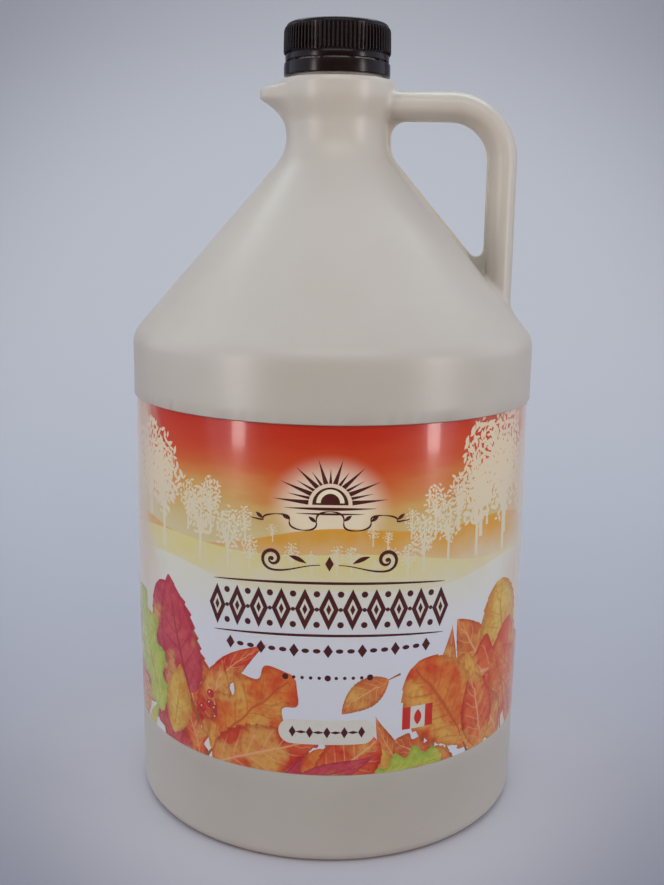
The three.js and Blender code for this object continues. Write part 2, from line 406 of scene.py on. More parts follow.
@dataclass(frozen=True)
class SkyInk(FilmFinish):
    """An evening sky in soft horizontal washes, from red at the top to pale paper at the bottom."""

    bottom: float = 0.0
    top: float = 1.0
    glow_height: float = 0.0
    stops: tuple[tuple[float, Colour], ...] = ()
    glow: Colour = (0.93, 0.80, 0.60)
    glow_limits: Pair = (23 * MM, 11 * MM)
    front_limits: Pair = (-20 * MM, -50 * MM)
    flank_reach: float = 45 * MM
    wash: Colour = (0.90, 0.74, 0.52)
    brush_size: float = 40 * MM
    brush_flatness: float = 3.5
    blot_size: float = 18 * MM

    def colour(self, sheet: NodeSheet, place: Signal) -> Signal:
        """Gives the sky's colour, with a glow low in the front and pale washes at the foot.

        Args:
            sheet: The material's nodes.
            place: Where the surface is.

        Returns:
            The colour.
        """
        scale = (1.0, 1.0, self.brush_flatness)
        flat = sheet.add("ShaderNodeMapping", inputs={"Vector": place, "Scale": scale})
        brush = sheet.noise(flat, self.brush_size, 4.0)
        blot = sheet.noise(place, self.blot_size, 3.0)
        x, y, z = sheet.parts(place)
        flank = abs(x).step(0.0, self.flank_reach) * 0.05
        share = (z - self.bottom) / (self.top - self.bottom) - flank
        sky = sheet.add(
            "ShaderNodeValToRGB", {"stops": self.stops}, {0: share + (brush - 0.5) * 0.13}
        )
        rise = (z - self.glow_height) * 1.15
        reach = (x * x + rise * rise) ** 0.5
        front = y.step(*self.front_limits)
        lit = sheet.mix(reach.step(*self.glow_limits) * front * 0.78, sky, self.glow)
        foot = share.step(0.5, 0.05) * blot.step(0.42, 0.7) * 0.5
        washed = sheet.mix(foot, lit, self.wash)
        return self.paled(sheet, place, washed)


@dataclass(frozen=True)
class FadingInk(FilmFinish):
    """A flat colour that fades into another below a height, as a misty hill does."""

    upper: Colour = (1.0, 1.0, 1.0)
    lower: Colour = (1.0, 1.0, 1.0)
    fade_top: float = 1.0
    fade_bottom: float = 0.0
    brush_size: float = 9 * MM

    def colour(self, sheet: NodeSheet, place: Signal) -> Signal:
        """Gives the colour, mottled a little.

        Args:
            sheet: The material's nodes.
            place: Where the surface is.

        Returns:
            The colour.
        """
        _, _, z = sheet.parts(place)
        brush = sheet.noise(place, self.brush_size, 4.0)
        share = z.step(self.fade_top, self.fade_bottom) + (brush - 0.5) * 0.5
        return self.paled(sheet, place, sheet.mix(share.most(0.0).least(1.0), self.upper, self.lower))


@dataclass(frozen=True)
class PlainInk(FilmFinish):
    """One ink with the slight unevenness of a solid print."""

    ink: Colour = (0.1, 0.02, 0.02)
    thin: Colour = (0.14, 0.035, 0.03)
    brush_size: float = 4 * MM

    def colour(self, sheet: NodeSheet, place: Signal) -> Signal:
        """Gives the ink's colour."""
        brush = sheet.noise(place, self.brush_size, 3.0)
        return sheet.mix(brush.step(0.4, 0.8), self.ink, self.thin)


@dataclass(frozen=True)
class LeafInk(FilmFinish):
    """A painted leaf: two washes that run into each other, a wet edge and fine veins."""

    heart: Colour = (0.8, 0.3, 0.1)
    edge: Colour = (0.7, 0.1, 0.05)
    vein: Colour = (0.9, 0.6, 0.3)
    bloom: Colour = (0.80, 0.56, 0.12)
    side_veins: float = 7.0
    wash_size: float = 7 * MM
    bloom_size: float = 16 * MM
    fleck_size: float = 1.9 * MM

    def colour(self, sheet: NodeSheet, place: Signal) -> Signal:
        """Gives the leaf's colour from where a point lies on its own leaf.

        Args:
            sheet: The material's nodes.
            place: Where the surface is.

        Returns:
            The colour.
        """
        leaf = sheet.add("ShaderNodeAttribute", {"attribute_name": LEAF_PLACE}, output="Vector")
        along, across, luck = sheet.parts(leaf)
        side = abs(across)
        wash = sheet.noise(place, self.wash_size, 4.0)
        spread = sheet.noise(place, self.bloom_size, 3.0)
        fleck = sheet.noise(place, self.fleck_size, 4.0)
        share = side * 0.45 + along * 0.25 + luck * 0.4 + (wash - 0.5) * 2.6 - 0.1
        blended = sheet.mix(share.most(0.0).least(1.0), self.heart, self.edge)
        base = sheet.mix((spread + luck * 0.08).step(0.56, 0.69) * 0.5, blended, self.bloom)
        wet = side.step(0.72, 1.0) * 0.4 + fleck.step(0.46, 0.72) * 0.38
        deep = tuple(0.62 * part for part in self.edge)
        soaked = sheet.mix(wet, base, deep)
        phase = (along * self.side_veins - side * 1.5).math("FRACT")
        branch = abs(phase - 0.5).step(0.1, 0.02) * side.step(1.0, 0.5)
        midrib = side.step(0.07, 0.02)
        return sheet.mix(midrib.most(branch * 0.6) * 0.75, soaked, self.vein)


@dataclass(frozen=True)
class StudioPaper(Finish):
    """Matt studio paper with a painted pool of light before the jug and painted shade towards its corners.
    """

    base: Colour = (0.5, 0.51, 0.55)
    # painted pool of light: the colour of a lighter strip on the floor in front of the jug
    painted_light_pool: Colour = (0.85, 0.77, 0.76)
    # painted shade: the colour the paper darkens to towards its corners
    painted_corner_shade: Colour = (0.3, 0.3, 0.33)
    eye: Place = (0.0, 0.0, 0.0)
    middle: Place = (0.0, 1.0, 0.0)

    def sockets(self, sheet: NodeSheet) -> dict[str | int, object]:
        """Gives the shader's sockets.

        Args:
            sheet: The material's nodes.

        Returns:
            Values and signals, by the socket's name.
        """
        place = sheet.add("ShaderNodeTexCoord", output="Object")
        away = sheet.add("ShaderNodeVectorMath", {"operation": "SUBTRACT"}, {0: place, 1: self.eye})
        line = sheet.add("ShaderNodeVectorMath", {"operation": "NORMALIZE"}, {0: away})
        both = {0: line, 1: self.middle}
        aimed = sheet.add("ShaderNodeVectorMath", {"operation": "DOT_PRODUCT"}, both, "Value")
        across, y, _ = sheet.parts(place)
        # painted pool of light: a lighter strip along the middle of the floor, in front of the jug
        painted_light_pool = abs(across).step(0.16, 0.02) * y.step(0.1, -0.1)
        lit = sheet.mix(painted_light_pool, self.base, self.painted_light_pool)
        # painted shade: the paper darkens away from the middle of the camera's view
        return {"Base Color": sheet.mix(aimed.step(0.965, 0.87), lit, self.painted_corner_shade), "Roughness": 0.75}


def placed(name: str, data: bpy.types.ID) -> Object:
    """Puts data into the scene as a new object.

    Args:
        name: The object's name.
        data: Its mesh, light or camera.

    Returns:
        The object, at the origin.
    """
    made = bpy.data.objects.new(name, data)
    bpy.context.scene.collection.objects.link(made)
    return made


def piece_from(
    name: str, points: np.ndarray, faces: Iterable[Sequence[int]], finish: Material
) -> Object:
    """Makes an object from points in millimetres.

    Args:
        name: The piece's name.
        points: Its vertices.
        faces: Its faces, as vertex numbers.
        finish: Its material.

    Returns:
        The object, at the origin and shaded smooth.
    """
    mesh = bpy.data.meshes.new(name)
    mesh.from_pydata((np.asarray(points) * MM).tolist(), [], [list(face) for face in faces])
    mesh.materials.append(finish)
    mesh.shade_smooth()
    return placed(name, mesh)


def weld(piece: Object, reach: float) -> None:
    """Merges a piece's doubled vertices, closing its poles.

    Args:
        piece: The piece, changed in place.
        reach: How close two vertices are merged, in millimetres.
    """
    shape = bmesh.new()
    shape.from_mesh(piece.data)
    bmesh.ops.remove_doubles(shape, verts=shape.verts, dist=reach * MM)
    bmesh.ops.dissolve_degenerate(shape, edges=shape.edges, dist=reach * MM / 2)
    shape.to_mesh(piece.data)
    shape.free()


def face_outwards(piece: Object) -> None:
    """Turns a closed piece's faces outwards.

    Args:
        piece: The piece, changed in place.
    """
    shape = bmesh.new()
    shape.from_mesh(piece.data)
    bmesh.ops.recalc_face_normals(shape, faces=shape.faces)
    shape.to_mesh(piece.data)
    shape.free()


def make_plain(piece: Object) -> None:
    """Turns what a piece's modifiers make into its plain mesh, and removes them.

    Args:
        piece: The piece, changed in place.
    """
    evaluated = piece.evaluated_get(bpy.context.evaluated_depsgraph_get())
    made = bpy.data.meshes.new_from_object(evaluated)
    piece.modifiers.clear()
    piece.data = made
    piece.data.name = piece.name


def vertices_of(piece: Object) -> np.ndarray:
    """Reads where a piece's vertices are.

    Args:
        piece: The piece.

    Returns:
        Their places in millimetres.
    """
    flat = np.empty(len(piece.data.vertices) * 3)
    piece.data.vertices.foreach_get("co", flat)
    return flat.reshape(-1, 3) / MM


def grid_faces(rows: int, columns: int, closed_rows: bool = False, closed: bool = False) -> Faces:
    """Lists the faces of a grid of points, numbered row by row.

    Args:
        rows: How many rows there are.
        columns: How many points a row has.
        closed_rows: Whether the last row joins the first.
        closed: Whether the last point of a row joins its first.

    Returns:
        Four vertex numbers for each face.
    """
    faces = []
    for row in range(rows if closed_rows else rows - 1):
        above = (row + 1) % rows
        for column in range(columns if closed else columns - 1):
            beside = (column + 1) % columns
            here, next_row = row * columns, above * columns
            faces.append((here + column, here + beside, next_row + beside, next_row + column))
    return faces


def rounded(
    corners: Sequence[Corner], closed: bool = False, arc_step: float = 7.0, run: float = 1e9
) -> np.ndarray:
    """Draws an outline through corners, with an arc at each corner that has a rounding.

    Args:
        corners: Each corner's two coordinates and its rounding radius.
        closed: Whether the last corner joins the first.
        arc_step: The turn of one step of an arc, in degrees.
        run: The longest straight step.

    Returns:
        The outline's points.
    """
    points: list[np.ndarray] = []
    count = len(corners)
    for index, (x, y, radius) in enumerate(corners):
        corner = np.array((x, y), float)
        if not radius or (not closed and index in (0, count - 1)):
            points.append(corner)
            continue
        back = np.array(corners[index - 1][:2]) - corner
        ahead = np.array(corners[(index + 1) % count][:2]) - corner
        back /= np.linalg.norm(back)
        ahead /= np.linalg.norm(ahead)
        half = math.acos(float(np.clip(back @ ahead, -1, 1))) / 2
        middle = (back + ahead) / np.linalg.norm(back + ahead)
        centre = corner + middle * radius / math.sin(half)
        start = corner + back * radius / math.tan(half) - centre
        sweep = (math.pi - 2 * half) * math.copysign(1, ahead[0] * back[1] - ahead[1] * back[0])
        steps = max(2, math.ceil(abs(math.degrees(sweep)) / arc_step))
        for turn in np.linspace(0, sweep, steps + 1):
            cos, sin = math.cos(turn), math.sin(turn)
            points.append(centre + (start[0] * cos - start[1] * sin, start[0] * sin + start[1] * cos))
    if closed:
        points.append(points[0])
    split = [points[0]]
    for before, after in zip(points, points[1:]):
        length = float(np.linalg.norm(after - before))
        if length < TINY:
            continue
        steps = max(1, math.ceil(length / run))
        split += [before + (after - before) * step / steps for step in range(1, steps + 1)]
    return np.array(split[:-1] if closed else split)


def turned(outline: np.ndarray, angles: np.ndarray) -> np.ndarray:
    """Turns an outline of radius and height about the axis.

    Args:
        outline: The outline's points.
        angles: Where its copies stand, going round once.

    Returns:
        The points, one row for each point of the outline.
    """
    radius, height = outline[:, :1], outline[:, 1:]
    grid = np.stack([radius * np.cos(angles), radius * np.sin(angles), height + 0 * angles], -1)
    return grid.reshape(-1, 3)


def swept(path: np.ndarray, outwards: np.ndarray, thick: np.ndarray, deep: np.ndarray) -> np.ndarray:
    """Sweeps a section, thick along outwards and deep along Y, along a path in the plane of X and Z."""
    rings = [np.stack([p[0] + n[0] * thick, deep, p[1] + n[1] * thick], 1) for p, n in zip(path, outwards)]
    return np.concatenate(rings)


def uneven_wall(x: np.ndarray, y: np.ndarray, z: np.ndarray, fade_height: float) -> np.ndarray:
    """Gives the slow unevenness of the blow-moulded wall, in millimetres outwards.

    Args:
        x: Where the wall is, along X.
        y: Where the wall is, along Y.
        z: Where the wall is, along Z.
        fade_height: The height at which the unevenness has faded away.

    Returns:
        How far each point moves outwards.
    """
    turn = np.arctan2(y, x)
    swell = sum(size * np.sin(count * turn + z / rise + start) for count, rise, start, size in WALL_WAVES)
    return WALL_SWELL * swell * np.clip((fade_height - z) / WALL_FADE, 0, 1)


@dataclass(frozen=True)
class LabelZone:
    """Where the wrap label lies on the body, in millimetres."""

    bottom: float
    top: float
    radius: float
    bulge: float = 0.6

    @property
    def height(self) -> float:
        """The label's height."""
        return self.top - self.bottom

    def swell(self, z: np.ndarray | float) -> np.ndarray:
        """Gives how far the full jug bulges at a height."""
        share = np.clip((np.asarray(z) - self.bottom) / self.height, 0, 1)
        return self.bulge * np.sin(np.pi * share)


class JugForm(Enum):
    """Parts of the moulding that meet in fillets."""

    BODY = 0
    HANDLE = 1
    WEB = 2


@dataclass
class JugMoulding:
    """The blow-moulded jug: foot, wall, shoulder, neck, collar, pouring lip, handle and web.

    Sizes are in millimetres. The parts are made on fine grids and joined, and the grids are then drawn
    onto the surface at which the parts flow into each other.
    """

    zone: LabelZone
    body_radius: float = 79.0
    heel_radius: float = 78.0
    panel_radius: float = 77.2
    neck_radius: float = 19.2
    dish: Corner = (56.0, 2.5, 4.0)
    foot_inner: Corner = (63.0, 0.0, 2.0)
    heel_round: float = 5.0
    film_clearance: float = 0.05
    lower_step: float = 0.3
    ledge_inset: float = 0.1
    step_height: float = 0.5
    step_round: float = 0.15
    shoulder: Corner = (79.0, 187.4, 10.0)
    neck_corner: Corner = (19.2, 256.6, 18.0)
    flare: Pair = (266.5, 278.6)
    collar_radius: float = 22.0
    collar_top: Corner = (21.4, 283.6, 0.9)
    finish_radius: float = 17.9
    finish_top: float = 301.9
    finish_step: float = 0.4
    lip_reach: float = 29.5
    lip_half_turn: float = math.radians(38)
    lip_underside: Pair = (261.0, 276.4)
    lip_underside_power: float = 2.8
    lip_edge_round: float = 1.1
    lip_top: float = 280.7
    lip_top_inner: float = 281.8
    arm_height: float = 275.0
    leg_reach: float = 65.0
    bend: float = 20.8
    handle_half: Pair = (5.3, 9.5)
    handle_fullness: float = 2.3
    handle_sides: int = 64
    arm_start: float = 7.0
    leg_end: float = 190.0
    web_half_thickness: float = 1.2
    web_height: float = 0.65
    web_depth: float = 8.5
    web_on_shoulder: float = 1.5
    web_on_neck: float = 2.2
    web_round: float = 0.45
    eye_top_round: float = 6.0
    eye_bottom_round: float = 3.2
    fillet: float = 2.4
    web_fillet: float = 0.9
    wavy_radius: Pair = (60.0, 70.0)
    wavy_height: float = 12.0
    columns: int = 256
    column_crowding: float = 0.25
    flow_rounds: int = 7
    flow_error: float = 0.004
    flow_step: float = 0.8
    flow_limit: float = 2.5
    _upper_outline: np.ndarray = field(init=False, repr=False)
    _eye_line: np.ndarray = field(init=False, repr=False)

    def __post_init__(self) -> None:
        """Draws the lines from which the distances of the parts are measured."""
        outline = self.outline()
        self._upper_outline = outline[outline[:, 1] > self.shoulder[1] - 5]
        eye = self.eye()
        self._eye_line = np.vstack([eye, eye[:1]])

    @property
    def wall_fade_height(self) -> float:
        """The height at which the wall's unevenness has faded away."""
        return self.shoulder[1] + 20

    @property
    def slope(self) -> float:
        """How fast the shoulder narrows with height."""
        across = self.shoulder[0] - self.neck_corner[0]
        return across / (self.neck_corner[1] - self.shoulder[1])

    def build(self, finish: Material) -> Object:
        """Makes the whole moulding.

        Args:
            finish: The plastic.

        Returns:
            One closed piece.
        """
        body = self._body(finish)
        others = [self._handle(finish), self._web(finish)]
        for other in others:
            join = body.modifiers.new("join", "BOOLEAN")
            join.operation = "UNION"
            join.solver = "MANIFOLD"
            join.object = other
        make_plain(body)
        for other in others:
            bpy.data.objects.remove(other)
        weld(body, 0.02)
        self._flow_together(body)
        return body

    def outline(self) -> np.ndarray:
        """Draws the body's outline, from the middle of its underside to the top of its finish.

        Returns:
            The outline's points, as radius and height.
        """
        zone = self.zone
        under, over = zone.bottom - self.film_clearance, zone.top + self.film_clearance
        low = [
            (0.0, self.dish[1], 0.0),
            self.dish,
            self.foot_inner,
            (self.heel_radius, 0.0, self.heel_round),
            (self.heel_radius, under - self.lower_step, self.step_round),
        ]
        panel = [(self.panel_radius + float(zone.swell(z)), z, 0.0) for z in np.linspace(under, over, 30)]
        high = [
            (zone.radius - self.ledge_inset, over, 0.0),
            (self.body_radius, zone.top + self.step_height, self.step_round),
            self.shoulder,
        ]
        neck = [
            self.neck_corner,
            *[(self._flare_radius(z), z, 0.0) for z in np.linspace(*self.flare, 14)],
            (self.collar_radius, self.lip_top, 0.0),
            (self.collar_radius, self.lip_top_inner, 0.4),
            self.collar_top,
            (self.finish_radius, self.collar_top[1] + self.finish_step, 0.5),
            (self.finish_radius, self.finish_top, 0.3),
            (0.0, self.finish_top, 0.0),
        ]
        foot = rounded([*low, *panel, *high, self.neck_corner], run=6.0)
        upper = rounded([self.shoulder, *neck], run=1.5)
        seam = self.shoulder[1] + self.shoulder[2]
        below, above = np.argmax(foot[:, 1] > seam), np.argmax(upper[:, 1] > seam)
        return np.concatenate([foot[:below], upper[above:]])

    def _flare_radius(self, z: float) -> float:
        """Gives the radius between neck and collar, where one flows into the other.

        Args:
            z: The height.

        Returns:
            The radius there.
        """
        low, high = self.flare
        rise = min(1.0, max(0.0, (z - low) / (high - low)))
        return self.neck_radius + (self.collar_radius - self.neck_radius) * rise**2 * (3 - 2 * rise)

    def _angles(self) -> np.ndarray:
        """Gives the body's columns, which are closest together at the handle and at the lip."""
        even = np.linspace(0, FULL_TURN, self.columns, endpoint=False)
        return even - self.column_crowding * np.sin(2 * even)

    def _body(self, finish: Material) -> Object:
        """Makes the turned body with its lip drawn out.

        Args:
            finish: The plastic.

        Returns:
            The closed body.
        """
        outline = self.outline()
        points = turned(outline, self._angles())
        x, y, z = points.T
        radius = np.maximum(np.hypot(x, y), 1e-9)
        inner, outer = self.wavy_radius
        wall = np.clip((radius - inner) / (outer - inner), 0, 1) * np.clip(z / self.wavy_height, 0, 1)
        grown = radius + uneven_wall(x, y, z, self.wall_fade_height) * wall
        reach = self._lip_radius(z)
        turn = np.abs(np.arctan2(y, -x)) / self.lip_half_turn
        drawn = (turn < 1) & (reach > radius) & (radius > self.finish_radius + 0.01)
        pull = np.cos(np.clip(turn, 0, 1) * np.pi / 2) ** 2
        grown = np.where(drawn, radius + pull * (reach - radius), grown)
        points[:, :2] *= (grown / radius)[:, None]
        faces = grid_faces(len(outline), self.columns, closed=True)
        piece = piece_from("jug_moulding", points, faces, finish)
        weld(piece, 0.001)
        return piece

    def _lip_radius(self, z: np.ndarray) -> np.ndarray:
        """Gives how far the middle of the pouring lip reaches.

        Args:
            z: The heights.

        Returns:
            The radius at each height, or 0 above and below the lip.
        """
        low, high = self.lip_underside
        edge = self.lip_edge_round
        rise = np.clip((z - low) / (high - low), 0, 1) ** self.lip_underside_power
        under = self.neck_radius + (self.lip_reach - self.neck_radius) * rise
        fall = np.clip((z - self.lip_top + edge) / edge, 0, 1)
        tip = under - edge * (1 - np.sqrt(1 - fall**2))
        back = np.clip((z - self.lip_top) / (self.lip_top_inner - self.lip_top), 0, 1)
        top = (self.lip_reach - edge) + (self.collar_radius - self.lip_reach + edge) * back
        reach = np.where(z > self.lip_top, top, tip)
        return np.where((z <= low) | (z >= self.lip_top_inner), 0, reach)

    def _handle(self, finish: Material) -> Object:
        """Sweeps the handle's full oval along the arm, the bend and the leg.

        Args:
            finish: The plastic.

        Returns:
            The closed handle, ready to be joined.
        """
        path = rounded(
            [
                (self.arm_start, self.arm_height, 0.0),
                (self.leg_reach, self.arm_height, self.bend),
                (self.leg_reach, self.leg_end, 0.0),
            ],
            arc_step=2.5,
            run=1.2,
        )
        ahead = np.gradient(path, axis=0)
        ahead /= np.linalg.norm(ahead, axis=1)[:, None]
        outwards = np.stack([-ahead[:, 1], ahead[:, 0]], 1)
        turn = np.linspace(0, FULL_TURN, self.handle_sides, endpoint=False)
        power = 2 / self.handle_fullness
        thick = self.handle_half[0] * np.sign(np.cos(turn)) * np.abs(np.cos(turn)) ** power
        deep = self.handle_half[1] * np.sign(np.sin(turn)) * np.abs(np.sin(turn)) ** power
        count = self.handle_sides
        faces = grid_faces(len(path), count, closed=True)
        faces += [tuple(range(count))[::-1], tuple(range((len(path) - 1) * count, len(path) * count))]
        piece = piece_from("handle_tool", swept(path, outwards, thick, deep), faces, finish)
        face_outwards(piece)
        return piece

    def eye(self) -> np.ndarray:
        """Draws the eye of the handle, inside the web.

        Returns:
            The points of its closed line, as X and Z.
        """
        left = self.neck_radius + self.web_on_neck
        inset = self.handle_half[0] + self.web_height
        right = self.leg_reach - inset
        top = self.arm_height - inset
        start = self.neck_radius + self.web_on_shoulder * math.hypot(1, self.slope)
        low_left, low_right = (self.neck_corner[1] - (at - start) / self.slope for at in (left, right))
        corners = [
            (left, top, self.eye_top_round),
            (left, low_left, self.neck_corner[2] / 2),
            (right, low_right, self.eye_bottom_round),
            (right, top, self.bend - inset),
        ]
        return rounded(corners, closed=True, arc_step=5.0, run=0.9)

    def _web(self, finish: Material) -> Object:
        """Makes the thin web that the mould leaves round the inside of the eye.

        Args:
            finish: The plastic.

        Returns:
            The closed web, ready to be joined.
        """
        eye = self.eye()
        along = np.roll(eye, -1, axis=0) - np.roll(eye, 1, axis=0)
        along /= np.linalg.norm(along, axis=1)[:, None]
        outwards = np.stack([along[:, 1], -along[:, 0]], 1)
        outwards *= np.sign(np.sum(outwards * (eye - eye.mean(0)), axis=1)).mean().round()
        half, soft, depth = self.web_half_thickness, self.web_round, self.web_depth
        corners = [(0.0, -half, soft), (0.0, half, soft), (depth, half, 0.0), (depth, -half, 0.0)]
        section = rounded(corners, closed=True, arc_step=30.0, run=0.8)
        faces = grid_faces(len(eye), len(section), closed_rows=True, closed=True)
        piece = piece_from("web_tool", swept(eye, outwards, *section.T), faces, finish)
        face_outwards(piece)
        return piece

    def distance(self, points: np.ndarray, form: JugForm) -> np.ndarray:
        """Gives how far points are outside one part of the moulding.

        Args:
            points: The points.
            form: The part.

        Returns:
            The distances, negative inside the part.
        """
        x, y, z = points.T
        if form is JugForm.BODY:
            radius = np.hypot(x, y)
            outline = self._upper_outline
            away = self._to_line(np.stack([radius, z], 1), outline)
            inside = radius < np.interp(z, outline[:, 1], outline[:, 0])
            return np.where(inside, -away, away)
        if form is JugForm.HANDLE:
            near_x, near_z = self.leg_reach - self.bend, self.arm_height - self.bend
            bent = np.hypot(x - near_x, z - near_z) - self.bend
            lower = np.where(z <= near_z, x - self.leg_reach, bent)
            offset = np.where(x <= near_x, z - self.arm_height, lower)
            power = self.handle_fullness
            fraction = np.abs(offset / self.handle_half[0]) ** power
            fraction += np.abs(y / self.handle_half[1]) ** power
            fraction = np.maximum(fraction, 1e-9) ** (1 / power)
            return np.hypot(offset, y) * (1 - 1 / fraction)
        eye = self._eye_line
        flat = np.stack([x, z], 1)
        beyond = self._to_line(flat, eye) * np.where(self._within(flat, eye), -1, 1)
        soft = self.web_round
        across = np.abs(beyond - self.web_depth / 2) - (self.web_depth / 2 - soft)
        out = np.abs(y) - (self.web_half_thickness - soft)
        within = np.minimum(np.maximum(across, out), 0)
        return np.hypot(np.maximum(across, 0), np.maximum(out, 0)) + within - soft

    @staticmethod
    def _to_line(points: np.ndarray, line: np.ndarray) -> np.ndarray:
        """Measures how far flat points are from a line of straight steps.

        Args:
            points: The points.
            line: The line's corners.

        Returns:
            Each point's distance.
        """
        best = np.full(len(points), 1e9)
        for start, end in zip(line, line[1:]):
            step = end - start
            share = np.clip((points - start) @ step / max(step @ step, 1e-12), 0, 1)
            best = np.minimum(best, np.linalg.norm(points - start - share[:, None] * step, axis=1))
        return best

    @staticmethod
    def _within(points: np.ndarray, line: np.ndarray) -> np.ndarray:
        """Finds the flat points inside a closed line.

        Args:
            points: The points.
            line: The line's corners, the first one given again at its end.

        Returns:
            Whether each point is inside.
        """
        inside = np.zeros(len(points), bool)
        for (ax, ay), (bx, by) in zip(line, line[1:]):
            if ay != by:
                crosses = (ay > points[:, 1]) != (by > points[:, 1])
                inside ^= crosses & (points[:, 0] < (bx - ax) * (points[:, 1] - ay) / (by - ay) + ax)
        return inside

    def field(self, points: np.ndarray) -> np.ndarray:
        """Gives how far points are outside the whole moulding with its fillets, negative inside."""
        body, handle, web = (self.distance(points, form) for form in JugForm)
        return self._filleted(self._filleted(body, handle, self.fillet), web, self.web_fillet)

    @staticmethod
    def _filleted(first: np.ndarray, second: np.ndarray, radius: float) -> np.ndarray:
        """Joins two distances with a round fillet between them."""
        near = np.hypot(np.maximum(radius - first, 0), np.maximum(radius - second, 0))
        return np.maximum(radius, np.minimum(first, second)) - near

    def _gradient(self, points: np.ndarray, step: float = 0.02) -> np.ndarray:
        """Gives the field's gradient.

        Args:
            points: Where it is wanted.
            step: How far each point is moved to measure it.

        Returns:
            One gradient for each point.
        """
        moves = np.eye(3) * step
        change = [self.field(points + move) - self.field(points - move) for move in moves]
        return np.stack(change, 1) / (2 * step)

    def _flow_together(self, piece: Object) -> None:
        """Moves the vertices near the joints onto the filleted surface and sets their normals.

        Args:
            piece: The joined moulding, changed in place.
        """
        points = vertices_of(piece)
        x, y, z = points.T
        handle = self.distance(points, JugForm.HANDLE)
        near = (handle < self.fillet + 1.5) & (z > self.shoulder[1]) & (x > 0)
        beside_web = np.abs(y) < self.web_half_thickness + 3
        near |= beside_web & (x > self.neck_radius - 2) & (z > self.shoulder[1] + 5)
        numbers = np.flatnonzero(near)
        moved = points[numbers]
        for _ in range(self.flow_rounds):
            value = self.field(moved)
            off = np.abs(value) > self.flow_error
            slope = self._gradient(moved[off])
            size = np.maximum((slope**2).sum(1), 0.2)
            step = np.clip(value[off] / size, -self.flow_step, self.flow_step)
            moved[off] -= step[:, None] * slope
        drift = np.linalg.norm(moved - points[numbers], axis=1)
        good = drift < self.flow_limit * self.fillet
        points[numbers[good]] = moved[good]
        piece.data.vertices.foreach_set("co", (points * MM).ravel())
        piece.data.update()
        weld(piece, 0.04)
        self._set_normals(piece)
        LOG.info("fillets moved %d of %d vertices, furthest %.2f mm", good.sum(), len(points), drift.max())

    def _set_normals(self, piece: Object) -> None:
        """Gives the vertices round the handle the normals of the filleted surface.

        Args:
            piece: The joined moulding, changed in place.
        """
        mesh = piece.data
        mesh.shade_smooth()
        points = vertices_of(piece)
        x, _, z = points.T
        normals = np.array([normal.vector[:] for normal in mesh.vertex_normals])
        handle = self.distance(points, JugForm.HANDLE)
        near = (handle < self.fillet + 1) & (z > self.shoulder[1]) & (x > 0)
        near |= (self.distance(points, JugForm.WEB) < 1.2) & (z > self.shoulder[1] + 5)
        slope = self._gradient(points[near])
        size = np.linalg.norm(slope, axis=1)
        sound = size > 0.5
        numbers = np.flatnonzero(near)[sound]
        normals[numbers] = slope[sound] / size[sound][:, None]
        mesh.normals_split_custom_set_from_vertices(normals.tolist())


